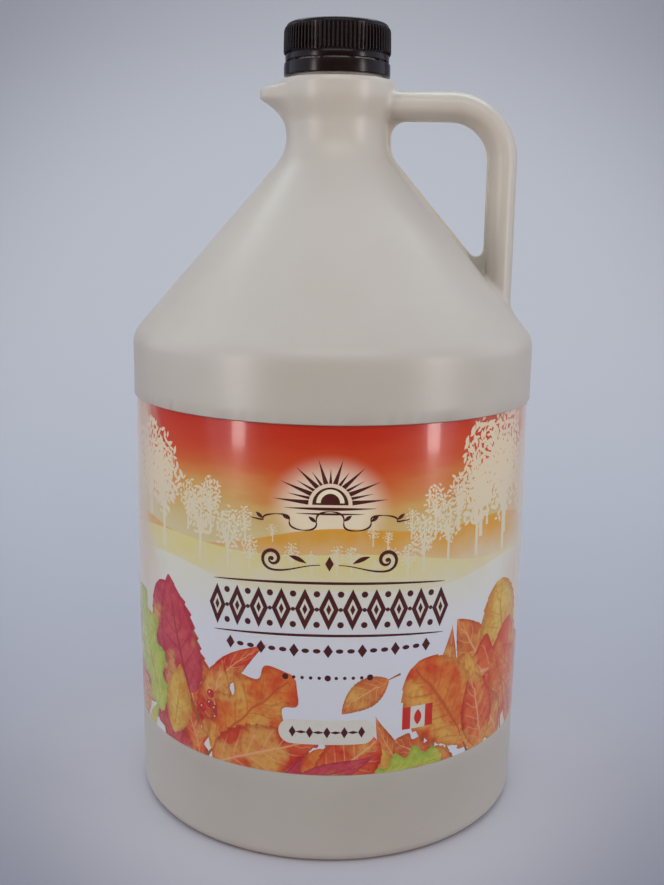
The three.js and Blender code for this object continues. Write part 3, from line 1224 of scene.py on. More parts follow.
class UprightRing:
    """Geometry Nodes that stand slim round-ended bars in a ring, as the cap's ribs and bridges do."""

    INPUTS = {
        "Count": ("NodeSocketInt", 80),
        "Bottom": ("NodeSocketFloat", 0.0),
        "Top": ("NodeSocketFloat", 0.01),
        "Bottom Radius": ("NodeSocketFloat", 0.02),
        "Top Radius": ("NodeSocketFloat", 0.02),
        "Half Width": ("NodeSocketFloat", 0.0004),
        "Curl": ("NodeSocketFloat", 0.0),
        "Finish": ("NodeSocketMaterial", None),
    }
    STEPS = 12
    SIDES = 8
    BLUNT = 0.35
    FOOT_GROWTH = 9.0
    HEAD_GROWTH = 7.0
    CURL_START = 0.8
    CURL_RATE = 5.0

    def __init__(self) -> None:
        """Builds the tree once, for every ring."""
        self.tree = bpy.data.node_groups.new("upright_ring", "GeometryNodeTree")
        for name, (kind, value) in self.INPUTS.items():
            socket = self.tree.interface.new_socket(name, in_out="INPUT", socket_type=kind)
            if value is not None:
                socket.default_value = value
        self.tree.interface.new_socket("Geometry", in_out="OUTPUT", socket_type="NodeSocketGeometry")
        sheet = NodeSheet(self.tree)
        given = sheet.add("NodeGroupInput").socket.node
        size = {name: Signal(sheet, given.outputs[name]) for name in self.INPUTS}
        bar = self._bar(sheet, size)
        spots = sheet.add(
            "GeometryNodeMeshLine", inputs={"Count": size["Count"], "Offset": (0.0, 0.0, 0.0)}
        )
        turn = sheet.add("GeometryNodeInputIndex") * FULL_TURN / size["Count"]
        turned_by = sheet.add("ShaderNodeCombineXYZ", inputs={"Z": turn})
        ring = sheet.add(
            "GeometryNodeInstanceOnPoints", inputs={"Points": spots, "Instance": bar, "Rotation": turned_by}
        )
        real = sheet.add("GeometryNodeRealizeInstances", inputs={0: ring})
        dressing = {"Geometry": real, "Material": size["Finish"]}
        dressed = sheet.add("GeometryNodeSetMaterial", inputs=dressing)
        sheet.add("NodeGroupOutput", inputs={0: dressed})

    @classmethod
    def _bar(cls, sheet: NodeSheet, size: dict[str, Signal]) -> Signal:
        """Adds the nodes of one bar, which curls in towards the axis at its head.

        Args:
            sheet: The tree's nodes.
            size: The tree's inputs by name.

        Returns:
            The bar.
        """
        low = sheet.add("ShaderNodeCombineXYZ", inputs={"X": size["Bottom Radius"], "Z": size["Bottom"]})
        high = sheet.add("ShaderNodeCombineXYZ", inputs={"X": size["Top Radius"], "Z": size["Top"]})
        line = sheet.add("GeometryNodeCurvePrimitiveLine", inputs={"Start": low, "End": high})
        fine = sheet.add("GeometryNodeResampleCurve", inputs={"Curve": line, "Count": cls.STEPS})
        share = sheet.add("GeometryNodeSplineParameter", output="Factor")
        head = (share - cls.CURL_START).most(0.0) * cls.CURL_RATE
        inwards = sheet.add("ShaderNodeCombineXYZ", inputs={"X": head * head * size["Curl"] * -1.0})
        curled = sheet.add("GeometryNodeSetPosition", inputs={"Geometry": fine, "Offset": inwards})
        foot_end = share * cls.FOOT_GROWTH + cls.BLUNT
        head_end = (1 - share) * cls.HEAD_GROWTH + cls.BLUNT
        taper = foot_end.least(head_end).least(1.0)
        circle = {"Resolution": cls.SIDES, "Radius": 1.0}
        section = sheet.add("GeometryNodeCurvePrimitiveCircle", inputs=circle)
        swept = {"Curve": curled, "Profile Curve": section, "Scale": taper * size["Half Width"]}
        return sheet.add("GeometryNodeCurveToMesh", inputs={**swept, "Fill Caps": True})

    def make(self, name: str, values: dict[str, object]) -> Object:
        """Makes one ring as a plain mesh.

        Args:
            name: The piece's name.
            values: The tree's inputs by name, lengths in metres.

        Returns:
            The ring of bars.
        """
        piece = placed(name, bpy.data.meshes.new(name))
        nodes = piece.modifiers.new("ring", "NODES")
        nodes.node_group = self.tree
        for item in self.tree.interface.items_tree:
            if item.in_out == "INPUT" and item.name in values:
                nodes[item.identifier] = values[item.name]
        make_plain(piece)
        piece.data.shade_smooth()
        return piece


@dataclass
class ScrewCap:
    """The shut screw cap: a shell with grip ribs, and the tamper band that hangs on small bridges."""

    rings: UprightRing
    top: float = 304.0
    top_thickness: float = 1.8
    radius: float = 19.9
    edge_round: float = 1.4
    inner_radius: float = 18.2
    skirt_bottom: float = 290.3
    band_top: float = 289.7
    band_bottom: float = 284.8
    band_radius: float = 20.4
    ribs: int = 80
    rib_bottom: float = 292.9
    rib_ledge: float = 0.35
    rib_recess: float = 0.25
    rib_top: float = 303.0
    rib_curl: float = 0.9
    rib_half_width: float = 0.43
    rib_reach: Pair = (20.6, 20.35)
    bridges: int = 10
    bridge_half_width: float = 0.7
    bridge_overlap: float = 0.5
    band_waist: Corner = (20.4, 288.0, 3.0)
    band_taper: float = 0.12
    recess: Corner = (15.5, 0.35, 0.3)
    gate_rim: Pair = (1.6, 1.9)
    gate_depth: float = 0.25
    columns: int = 240

    def build(self, finish: Material) -> list[Object]:
        """Makes the cap's pieces.

        Args:
            finish: The dark plastic.

        Returns:
            Shell, band, ribs and bridges.
        """
        half = self.rib_half_width
        ribs = {
            "Count": self.ribs,
            "Bottom": self.rib_bottom * MM,
            "Top": self.rib_top * MM,
            "Bottom Radius": (self.rib_reach[0] - half) * MM,
            "Top Radius": (self.rib_reach[1] - half) * MM,
            "Half Width": half * MM,
            "Curl": self.rib_curl * MM,
            "Finish": finish,
        }
        middle = (self.radius + self.inner_radius) / 2 * MM
        bridges = {
            "Count": self.bridges,
            "Bottom": (self.band_top - self.bridge_overlap) * MM,
            "Top": (self.skirt_bottom + self.bridge_overlap) * MM,
            "Bottom Radius": middle,
            "Top Radius": middle,
            "Half Width": self.bridge_half_width * MM,
            "Curl": 0.0,
            "Finish": finish,
        }
        return [
            self._lathe("cap_shell", self._shell_outline(), finish),
            self._lathe("cap_tamper_band", self._band_outline(), finish),
            self.rings.make("cap_ribs", ribs),
            self.rings.make("cap_bridges", bridges),
        ]

    def _shell_outline(self) -> np.ndarray:
        """Draws the shell, from the axis inside the cap, round its skirt, to the axis on its top.

        Returns:
            The outline's points, as radius and height.
        """
        under = self.top - self.top_thickness
        rim, drop, soft = self.recess
        floor = self.top - drop
        return rounded(
            [
                (0.0, under, 0.0),
                (self.inner_radius, under, 0.4),
                (self.inner_radius, self.skirt_bottom, 0.25),
                (self.radius, self.skirt_bottom, 0.3),
                (self.radius, self.rib_bottom - self.rib_ledge, 0.0),
                (self.radius - self.rib_recess, self.rib_bottom, 0.2),
                (self.radius - self.rib_recess, self.top, self.edge_round),
                (rim + soft, self.top, 0.25),
                (rim - soft, floor, 0.3),
                (self.gate_rim[1], floor, 0.3),
                (self.gate_rim[0], floor - self.gate_depth, 0.3),
                (0.0, floor - self.gate_depth, 0.0),
            ],
            arc_step=12.0,
            run=1.6,
        )

    def _band_outline(self) -> np.ndarray:
        """Draws the tamper band's closed section.

        Returns:
            The section's points, as radius and height.
        """
        corners = [
            (self.inner_radius, self.band_bottom, 0.2),
            (self.band_radius, self.band_bottom, 0.45),
            self.band_waist,
            (self.band_radius - self.band_taper, self.band_top, 0.35),
            (self.inner_radius, self.band_top, 0.2),
        ]
        return rounded(corners, closed=True, arc_step=12.0, run=0.9)

    def _lathe(self, name: str, outline: np.ndarray, finish: Material) -> Object:
        """Turns an outline into a closed piece.

        Args:
            name: The piece's name.
            outline: Its outline, from axis to axis, or closed where it stays clear of the axis.
            finish: Its plastic.

        Returns:
            The piece.
        """
        angles = np.linspace(0, FULL_TURN, self.columns, endpoint=False)
        ring = outline[0, 0] > 0
        faces = grid_faces(len(outline), self.columns, closed_rows=ring, closed=True)
        piece = piece_from(name, turned(outline, angles), faces, finish)
        weld(piece, 0.001)
        return piece


class Ink(Enum):
    """What an area of the label is printed with. The order is that of the label's material slots."""

    SKY = 0
    FAR_HILL = 1
    MID_HILL = 2
    NEAR_HILL = 3
    TREE = 4
    SUN = 5
    MAROON = 6
    CREAM = 7
    RED = 8
    STALK = 9
    LEAF_ORANGE = 10
    LEAF_SCARLET = 11
    LEAF_CRIMSON = 12
    LEAF_OCHRE = 13
    LEAF_GREEN = 14
    LEAF_RUST = 15
    BERRY = 16


class LeafKind(Enum):
    """Outlines of leaves: how full a leaf is along its length, and its lobes or teeth."""

    BEECH = (0.85, 0.9, 0.05, 14.0)
    OAK = (1.1, 0.5, 0.22, 4.0)
    WILLOW = (0.8, 1.25, 0.03, 10.0)
    ELM = (0.7, 0.75, 0.11, 11.0)
    HAZEL = (1.25, 0.55, 0.09, 10.0)

    def half_width(self, along: np.ndarray) -> np.ndarray:
        """Gives the half width of the leaf's outline.

        Args:
            along: Shares of the leaf's length.

        Returns:
            The half width at each, up to about 1.
        """
        lean, fullness, depth, count = self.value
        body = np.sin(np.pi * np.clip(along, 0, 1) ** lean) ** fullness
        if self is LeafKind.OAK:
            return body * (1 - depth + depth * np.cos(FULL_TURN * (count * along - 0.55)))
        teeth = (count * along) % 1.0
        return body * (1 - depth * teeth)


@dataclass
class Shape:
    """One printed shape: a simple outline in label millimetres, over those drawn before it."""

    ink: Ink
    outline: np.ndarray
    leaf_place: Callable[[np.ndarray], np.ndarray] | None = None


@dataclass
class LabelPrint:
    """The label's generic autumn print, drawn flat: along the wrap from the front's middle, and up."""

    left: float
    right: float
    seed: int = 11
    sun_height: float = 100.5
    sun_radius: float = 6.2
    sun_rays: int = 15
    horizon_half: float = 19.0
    scroll_height: float = 80.6
    frieze_height: float = 63.0
    frieze_sag: float = 0.0012
    frieze_half: float = 43.0
    frieze_spacing: float = 4.15
    frieze_border: float = 9.6
    chain_height: float = 47.6
    chain_spacing: float = 4.0
    dot_height: float = 37.5
    dot_spacing: float = 3.0
    plaque_half: float = 17.5
    plaque_bottom: float = 12.0
    plaque_height: float = 9.4
    plaque_spacing: float = 3.1
    tag_corner: Pair = (27.5, 15.8)
    tag_size: Pair = (12.4, 8.6)
    panel_across: Pair = (168.0, 236.0)
    panel_up: Pair = (26.0, 104.0)
    shapes: list[Shape] = field(default_factory=list)
    dice: random.Random = field(init=False, repr=False)

    def __post_init__(self) -> None:
        """Seeds the dice."""
        self.dice = random.Random(self.seed)

    def draw(self) -> list[Shape]:
        """Draws everything, from the back to the front.

        Returns:
            The shapes in order.
        """
        self._hill(Ink.FAR_HILL, 88.0, ((4.0, 31.0, 0.6), (2.0, 13.0, 2.0)))
        self._woods(90.0, 34.0, 1.1)
        self._hill(Ink.MID_HILL, 80.0, ((3.5, 38.0, 2.4), (1.6, 15.0, 0.3)))
        self._woods(79.0, 47.0, 1.2)
        self._hill(Ink.NEAR_HILL, 71.0, ((2.5, 29.0, 4.4), (1.2, 11.0, 1.0)))
        self._leaf_bed()
        self._emblem()
        self._flourish(94.6, 28.0, 3.6)
        self._scrolls()
        self._frieze()
        self._rules()
        self._plaque()
        self._tag()
        self._back_panel()
        self._tall_trees()
        return self.shapes

    def _add(self, ink: Ink, outline: Sequence[Sequence[float]] | np.ndarray) -> None:
        """Adds a plain shape."""
        self.shapes.append(Shape(ink, np.asarray(outline, float)))

    def _disc(self, ink: Ink, x: float, y: float, radius: float, sides: int = 24) -> None:
        """Adds a disc."""
        turn = np.linspace(0, FULL_TURN, sides, endpoint=False)
        self._add(ink, np.stack([x + radius * np.cos(turn), y + radius * np.sin(turn)], 1))

    def _diamond(self, ink: Ink, x: float, y: float, wide: float, high: float) -> None:
        """Adds a diamond."""
        self._add(ink, [(x - wide, y), (x, y - high), (x + wide, y), (x, y + high)])

    def _stroke(self, ink: Ink, middle: np.ndarray, half_widths: np.ndarray) -> None:
        """Adds a line whose width changes along it.

        Args:
            ink: What it is printed with.
            middle: Points along its middle.
            half_widths: Its half width at each point.
        """
        ahead = np.gradient(middle, axis=0)
        ahead /= np.maximum(np.linalg.norm(ahead, axis=1), 1e-9)[:, None]
        side = np.stack([-ahead[:, 1], ahead[:, 0]], 1) * half_widths[:, None]
        self._add(ink, np.concatenate([middle - side, (middle + side)[::-1]]))

    def _emblem(self) -> None:
        """Draws a rising half sun with rays, alternately long and short."""
        centre, radius = np.array((0.0, self.sun_height)), self.sun_radius
        turn = np.linspace(0, math.pi, 30)
        dome = np.stack([np.cos(turn), np.sin(turn)], 1)
        self._add(Ink.MAROON, centre + dome * radius)
        self._add(Ink.SUN, centre + (0.0, 0.7) + dome * (radius - 1.4))
        self._add(Ink.MAROON, centre + (0.0, 0.7) + dome * (radius - 2.9))
        for number in range(self.sun_rays):
            turn = math.pi * (number + 0.5) / self.sun_rays
            long = number % 2 == 0
            along = np.array((math.cos(turn), math.sin(turn)))
            side = np.array((-along[1], along[0])) * (0.85 if long else 0.55)
            tip = centre + along * (1.25, 1.0) * (radius + (10.0 if long else 6.5))
            foot = centre + along * (radius + 1.3)
            self._add(Ink.MAROON, [foot - side, tip, foot + side])
        reach = self.horizon_half
        x = np.linspace(-reach, reach, 24)
        for drop, half in ((1.4, 0.5), (3.2, 0.32)):
            line = np.stack([x * (1 - 0.12 * drop), np.full(24, centre[1] - drop)], 1)
            self._stroke(Ink.MAROON, line, 0.05 + half * np.cos(x / reach * math.pi / 2))

    def _hill(self, ink: Ink, height: float, waves: Sequence[tuple[float, float, float]]) -> None:
        """Draws a range of hills all round the label.

        Args:
            ink: What it is printed with.
            height: Its mean height.
            waves: Height, length and start of each wave of its crest.
        """
        x = np.linspace(self.left - 5, self.right + 5, 260)
        y = height + sum(size * np.sin(x / length + start) for size, length, start in waves)
        self._add(ink, np.concatenate([np.stack([x, y], 1)[::-1], [(x[0], 20.0), (x[-1], 20.0)]]))

    def _woods(self, ground: float, tallest: float, density: float) -> None:
        """Draws airy trees in groups, low in the front's middle and tall at its sides.

        Args:
            ground: How high their feet stand.
            tallest: The height of the tallest.
            density: How close they stand.
        """
        x = self.left + 4
        while x < self.right - 4:
            side = min(1.0, max(0.0, (abs(x) - 24) / 34))
            if abs(x) > 120:
                side = 0.45
            height = (0.28 + 0.72 * side) * tallest * self.dice.uniform(0.62, 1.0)
            foot = ground + self.dice.uniform(-4, 0) - 3 * (1 - side)
            if not (abs(x) < 13 and ground > 80):
                self._tree(x, foot, height)
            x += (4.0 + 0.34 * height) * self.dice.uniform(0.8, 1.5) / density

    def _tall_trees(self) -> None:
        """Draws the tallest trees, which stand close together at both sides of the front."""
        for x, foot, height in ((-80.0, 86.0, 40.0), (60.0, 84.0, 46.0), (76.0, 82.0, 54.0)):
            self._tree(x, foot, height)

    def _tree(self, x: float, foot: float, height: float) -> None:
        """Draws one round-crowned tree: a trunk, rising branches and dabs of leaves.

        Args:
            x: Where it stands along the wrap.
            foot: How high its foot stands.
            height: Its height.
        """
        rise = np.linspace(0, 1, 7)
        lean = self.dice.uniform(-0.06, 0.06)
        trunk = np.stack([x + lean * height * rise**2, foot + height * 0.9 * rise], 1)
        self._stroke(Ink.TREE, trunk, 0.018 * height * (1.12 - rise) + 0.1)
        dabs = max(16, int(height * 2.6))
        for number in range(dabs):
            share = (number + 0.5) / dabs
            around = number * GOLDEN_TURN
            spread = math.sqrt(share)
            wide, high = 0.24 * height, 0.34 * height
            cx = x + lean * height * 0.4 + wide * spread * math.cos(around) * self.dice.uniform(0.85, 1.1)
            cy = foot + 0.62 * height + high * spread * math.sin(around) * self.dice.uniform(0.85, 1.1)
            if number % 7 == 0:
                start = np.array((x, foot + 0.3 * height))
                limb = start + np.outer(np.linspace(0, 1, 4), np.array((cx, cy)) - start)
                self._stroke(Ink.TREE, limb, np.linspace(0.012 * height + 0.05, 0.09, 4))
            self._dab(cx, cy, 0.09 * height**0.7 * self.dice.uniform(0.72, 1.28))

    def _dab(self, x: float, y: float, size: float) -> None:
        """Draws one small leaf dab of a tree, pointed at both ends.

        Args:
            x: Where its middle is along the wrap.
            y: How high its middle is.
            size: About half its length.
        """
        lie = self.dice.uniform(0, math.pi)
        long = np.array((math.cos(lie), math.sin(lie))) * size * 1.35
        wide = np.array((-long[1], long[0])) * 0.42
        along = 1 - 2 * np.array((0.0, 0.35, 0.65))
        rim = np.outer(along, long) + np.outer(1 - along**2, wide)
        middle = np.array((x, y))
        self._add(Ink.TREE, np.concatenate([middle - rim, middle + rim]))

    def _leaf(
        self, ink: Ink, kind: LeafKind, foot: Pair, length: float, heading: float, bend: float
    ) -> None:
        """Draws one leaf with its stalk.

        Args:
            ink: What it is printed with.
            kind: Its outline.
            foot: Where its blade starts.
            length: Its length without the stalk.
            heading: Which way it points, in degrees from the wrap direction.
            bend: How much its midrib turns over its length, in degrees.
        """
        width = {LeafKind.WILLOW: 0.13, LeafKind.OAK: 0.3, LeafKind.HAZEL: 0.36}.get(kind, 0.27) * length
        turn, curl = math.radians(heading), math.radians(bend) / length
        cos, sin = math.cos(turn), math.sin(turn)
        luck = self.dice.random()

        def onto_label(along: np.ndarray, across: np.ndarray) -> np.ndarray:
            """Bends and places points of the leaf.

            Args:
                along: How far they are along the midrib.
                across: How far they are to its side.

            Returns:
                The points on the label.
            """
            angle = curl * along
            x = np.sin(angle) / curl - across * np.sin(angle)
            y = (1 - np.cos(angle)) / curl + across * np.cos(angle)
            return np.stack([foot[0] + x * cos - y * sin, foot[1] + x * sin + y * cos], -1)

        def from_label(points: np.ndarray) -> np.ndarray:
            """Finds where points of the label lie on the leaf.

            Args:
                points: The points on the label.

            Returns:
                For each, its share of the length, its share of the half width, and the leaf's luck.
            """
            dx, dy = points[:, 0] - foot[0], points[:, 1] - foot[1]
            x, y = dx * cos + dy * sin, dy * cos - dx * sin
            side = math.copysign(1, curl)
            angle = np.arctan2(side * x, side * (1 / curl - y))
            across = 1 / curl - side * np.hypot(x, 1 / curl - y)
            share = np.clip(angle / curl / length, 0, 1)
            full = width * np.maximum(kind.half_width(share), 0.12)
            return np.stack([share, np.clip(across / full, -1, 1), np.full(len(share), luck)], 1)

        stalk = np.linspace(-0.22 * length, 0.02 * length, 5)
        widths = np.linspace(0.02, 0.008, 5) * length
        rim = np.concatenate([onto_label(stalk, -widths), onto_label(stalk[::-1], widths[::-1])])
        self._add(Ink.STALK, rim)
        share = np.linspace(0.012, 0.992, 67)
        half = np.maximum(width * kind.half_width(share), 0.12)
        blade = [onto_label(share * length, -half), onto_label(share[::-1] * length, half[::-1])]
        self.shapes.append(Shape(ink, np.concatenate(blade), from_label))

    def _leaf_bed(self) -> None:
        """Strews leaves along the foot of the label, high at the front's sides and low between them."""
        rows = ((18.0, 0.52, 46.0), (14.0, 0.2, 38.0), (12.0, -0.06, 28.0))
        kinds = list(LeafKind)
        orange, scarlet, crimson = Ink.LEAF_ORANGE, Ink.LEAF_SCARLET, Ink.LEAF_CRIMSON
        ochre, green, rust = Ink.LEAF_OCHRE, Ink.LEAF_GREEN, Ink.LEAF_RUST
        warm = [orange, rust, scarlet, ochre, rust, orange]
        fresh = [green, crimson, orange, scarlet, rust, crimson]
        for row, (spacing, lift, size) in enumerate(rows):
            start = self.left + spacing * 0.5
            steps = int((self.right - self.left) / spacing)
            for number in range(steps):
                x = start + spacing * (number + self.dice.uniform(-0.3, 0.3))
                swell = 1 - math.exp(-((x / 40) ** 4)) if abs(x) < 130 else 0.75
                y = 52 * lift * swell + self.dice.uniform(-6, 1)
                heading = 90 + (math.copysign(26, x) if abs(x) > 30 else 0)
                heading += self.dice.uniform(-52, 52)
                length = size * (0.55 + 0.45 * swell) * self.dice.uniform(0.8, 1.12)
                inks = fresh if x < -10 else warm
                ink = inks[(number * 5 + row * 2 + self.dice.randrange(2)) % len(inks)]
                kind = kinds[(number * 3 + row + self.dice.randrange(2)) % len(kinds)]
                if row == 0 and swell < 0.35:
                    continue
                bend = self.dice.choice((-1, 1)) * self.dice.uniform(8, 34)
                self._leaf(ink, kind, (x, y), length, heading, bend)
            if row == 1:
                self._berries()
        for leaf in (
            (green, LeafKind.OAK, (-74.0, 8.0), 52.0, 112.0, 16.0),
            (crimson, LeafKind.ELM, (-55.0, 22.0), 46.0, 112.0, -12.0),
            (ochre, LeafKind.BEECH, (-66.0, 3.0), 30.0, 74.0, 12.0),
            (orange, LeafKind.OAK, (-45.0, 3.0), 48.0, 54.0, -16.0),
            (scarlet, LeafKind.ELM, (-44.0, -2.0), 44.0, 28.0, -14.0),
            (rust, LeafKind.BEECH, (22.0, 36.0), 21.0, 204.0, 24.0),
            (orange, LeafKind.HAZEL, (56.0, 4.0), 44.0, 118.0, 12.0),
            (scarlet, LeafKind.HAZEL, (-6.0, -4.0), 30.0, 28.0, 16.0),
            (crimson, LeafKind.WILLOW, (-14.0, -3.0), 34.0, 8.0, 20.0),
            (green, LeafKind.OAK, (16.0, -5.0), 30.0, 22.0, -18.0),
            (scarlet, LeafKind.BEECH, (66.0, -2.0), 36.0, 96.0, 14.0),
        ):
            self._leaf(*leaf)

    def _berries(self) -> None:
        """Draws sprigs of round berries between the leaves."""
        for x in range(int(self.left) + 20, int(self.right), 37):
            if abs(x) < 30:
                continue
            middle = np.array((x, 24.0)) + (self.dice.uniform(-6, 6), self.dice.uniform(-8, 8))
            for number in range(7):
                turn = number * GOLDEN_TURN
                at = middle + 3.0 * math.sqrt(number) * np.array((math.cos(turn), math.sin(turn) * 0.8))
                stem = middle + (0.0, -13.0) + np.outer(np.linspace(0, 1, 4), at - middle - (0.0, -13.0))
                self._stroke(Ink.STALK, stem, np.full(4, 0.22))
                self._disc(Ink.BERRY, *at, 1.75, 18)
                self._disc(Ink.CREAM, at[0] - 0.55, at[1] + 0.6, 0.34, 8)

    def _flourish(self, height: float, reach: float, swing: float) -> None:
        """Draws a thin looping pen line with leaves on it.

        Args:
            height: Where its middle stands.
            reach: How far it goes to both sides.
            swing: How high its waves are.
        """
        share = np.linspace(-1, 1, 120)
        x = reach * share + 1.6 * np.sin(share * 6 * math.pi)
        y = height + swing * np.sin(share * 3 * math.pi + math.pi / 2) * (1 - share**2)
        self._stroke(Ink.MAROON, np.stack([x, y], 1), 0.14 + 0.2 * np.abs(np.sin(share * 6 * math.pi)))
        for place in (-0.83, -0.5, -0.17, 0.17, 0.5, 0.83):
            at = int((place + 1) / 2 * 119)
            lie = np.array((0.8 * math.copysign(1, place), 0.6)) * 3.4
            blade = np.array((x[at], y[at])) + np.outer(np.linspace(0, 1, 9), lie)
            self._stroke(Ink.MAROON, blade, 0.05 + 0.62 * np.sin(np.pi * np.linspace(0, 1, 9)))

    def _frieze(self) -> None:
        """Draws a bold row of tall diamonds and dots between two lines, in place of a title."""
        for step in range(-10, 11):
            x = step * self.frieze_spacing
            y = self.frieze_height - self.frieze_sag * x * x
            if step % 2 == 0:
                self._diamond(Ink.MAROON, x, y, 3.5, 7.6)
                self._diamond(Ink.CREAM, x, y, 1.75, 3.9)
                self._diamond(Ink.MAROON, x, y, 0.9, 2.0)
            else:
                for rise, radius in ((-5.6, 1.15), (0.0, 0.75), (5.6, 1.15)):
                    self._disc(Ink.MAROON, x, y + rise, radius, 18)
        x = np.linspace(-self.frieze_half, self.frieze_half, 40)
        y = self.frieze_height - self.frieze_sag * x * x
        widths = 0.08 + 0.42 * np.cos(x / self.frieze_half * math.pi / 2) ** 0.5
        for rise in (-self.frieze_border, self.frieze_border):
            self._stroke(Ink.MAROON, np.stack([x, y + rise], 1), widths)

    def _scrolls(self) -> None:
        """Draws a pair of scrolls above the frieze, with a diamond between them."""
        middle = self.scroll_height
        for side in (-1, 1):
            turn = np.radians(np.linspace(-90, 430, 60))
            radius = np.linspace(4.0, 0.7, 60)
            coil = np.stack([20 + radius * np.cos(turn), middle + radius * np.sin(turn)], 1)
            wave = middle - 2.8 + 1.3 * np.cos(np.linspace(0, np.pi, 16))
            lead = np.stack([np.linspace(3.2, 19, 16), wave], 1)
            path = np.concatenate([lead, coil]) * (side, 1)
            share = np.linspace(0, 1, len(path))
            self._stroke(Ink.MAROON, path, 0.16 + 0.5 * np.sin(np.pi * share) ** 1.5)
            self._disc(Ink.MAROON, side * 20.2, middle, 0.8, 16)
            leaf = np.linspace(0, 1, 12)
            twig = np.stack([side * (8 + 6 * leaf), middle - 1 + 3.6 * leaf - 1.2 * leaf**2], 1)
            self._stroke(Ink.MAROON, twig, 0.06 + 0.75 * np.sin(np.pi * leaf))
        self._diamond(Ink.MAROON, 0.0, middle - 1, 1.5, 2.7)

    def _rules(self) -> None:
        """Draws a chain of small ovals and a row of dots below the frieze."""
        turn = np.linspace(0, FULL_TURN, 16, endpoint=False)
        oval = np.stack([1.35 * np.cos(turn), 0.85 * np.sin(turn)], 1)
        for step in range(-9, 10):
            x = step * self.chain_spacing
            if step % 3 == 0:
                self._diamond(Ink.MAROON, x, self.chain_height, 1.7, 2.5)
            else:
                self._add(Ink.MAROON, oval + (x, self.chain_height))
        for step in range(-5, 6):
            radius = 0.65 if step % 5 else 1.15
            self._disc(Ink.MAROON, step * self.dot_spacing, self.dot_height, radius, 16)

    def _plaque(self) -> None:
        """Draws a small pale plaque with round ends."""
        across = (-self.plaque_half, self.plaque_half)
        up = (self.plaque_bottom, self.plaque_bottom + self.plaque_height)
        soft = self.plaque_height / 2
        self._add(Ink.CREAM, rounded(self._frame(across, up, soft), closed=True, arc_step=12.0))
        middle = self.plaque_bottom + soft
        for step in range(-4, 5):
            x = step * self.plaque_spacing
            if step % 2:
                dash = np.array([(x - 1.7, middle), (x, middle), (x + 1.7, middle)])
                self._stroke(Ink.MAROON, dash, np.array([0.15, 0.6, 0.15]))
            else:
                self._diamond(Ink.MAROON, x, middle, 1.3, 2.2)

    @staticmethod
    def _frame(across: Pair, up: Pair, soft: float) -> list[Corner]:
        """Lists the corners of an upright frame, each with the same rounding."""
        (left, right), (low, high) = across, up
        return [(left, low, soft), (right, low, soft), (right, high, soft), (left, high, soft)]

    def _tag(self) -> None:
        """Draws a small tag of three bands with a plain leaf on the middle one."""
        left, low = self.tag_corner
        wide, high = self.tag_size
        for ink, start, end in ((Ink.RED, 0.0, 1.0), (Ink.CREAM, 0.26, 0.74)):
            x0, x1 = left + wide * start, left + wide * end
            self._add(ink, [(x0, low), (x1, low), (x1, low + high), (x0, low + high)])
        leaf = np.linspace(0.02, 0.98, 14)
        half = 1.5 * np.sin(np.pi * leaf) ** 0.8
        middle = np.stack([np.full(14, left + wide / 2), low + 1.2 + 6.0 * leaf], 1)
        self._stroke(Ink.RED, middle, half)

    def _back_panel(self) -> None:
        """Draws a plain bordered panel at the back, left bare."""
        (left, right), (low, high) = self.panel_across, self.panel_up
        for ink, inset in ((Ink.MAROON, 0.0), (Ink.CREAM, 0.6), (Ink.MAROON, 2.2), (Ink.CREAM, 2.6)):
            corners = self._frame((left + inset, right - inset), (low + inset, high - inset), 4.0)
            self._add(ink, rounded(corners, closed=True, arc_step=15.0))


@dataclass
class FlatFilm:
    """The film's printed side, cut along the print and drawn flat in label millimetres.

    Each triangle has the number of its ink and of its topmost shape, which is -1 on the bare sky.
    """

    points: np.ndarray
    faces: Faces
    inks: list[int]
    tops: list[int]


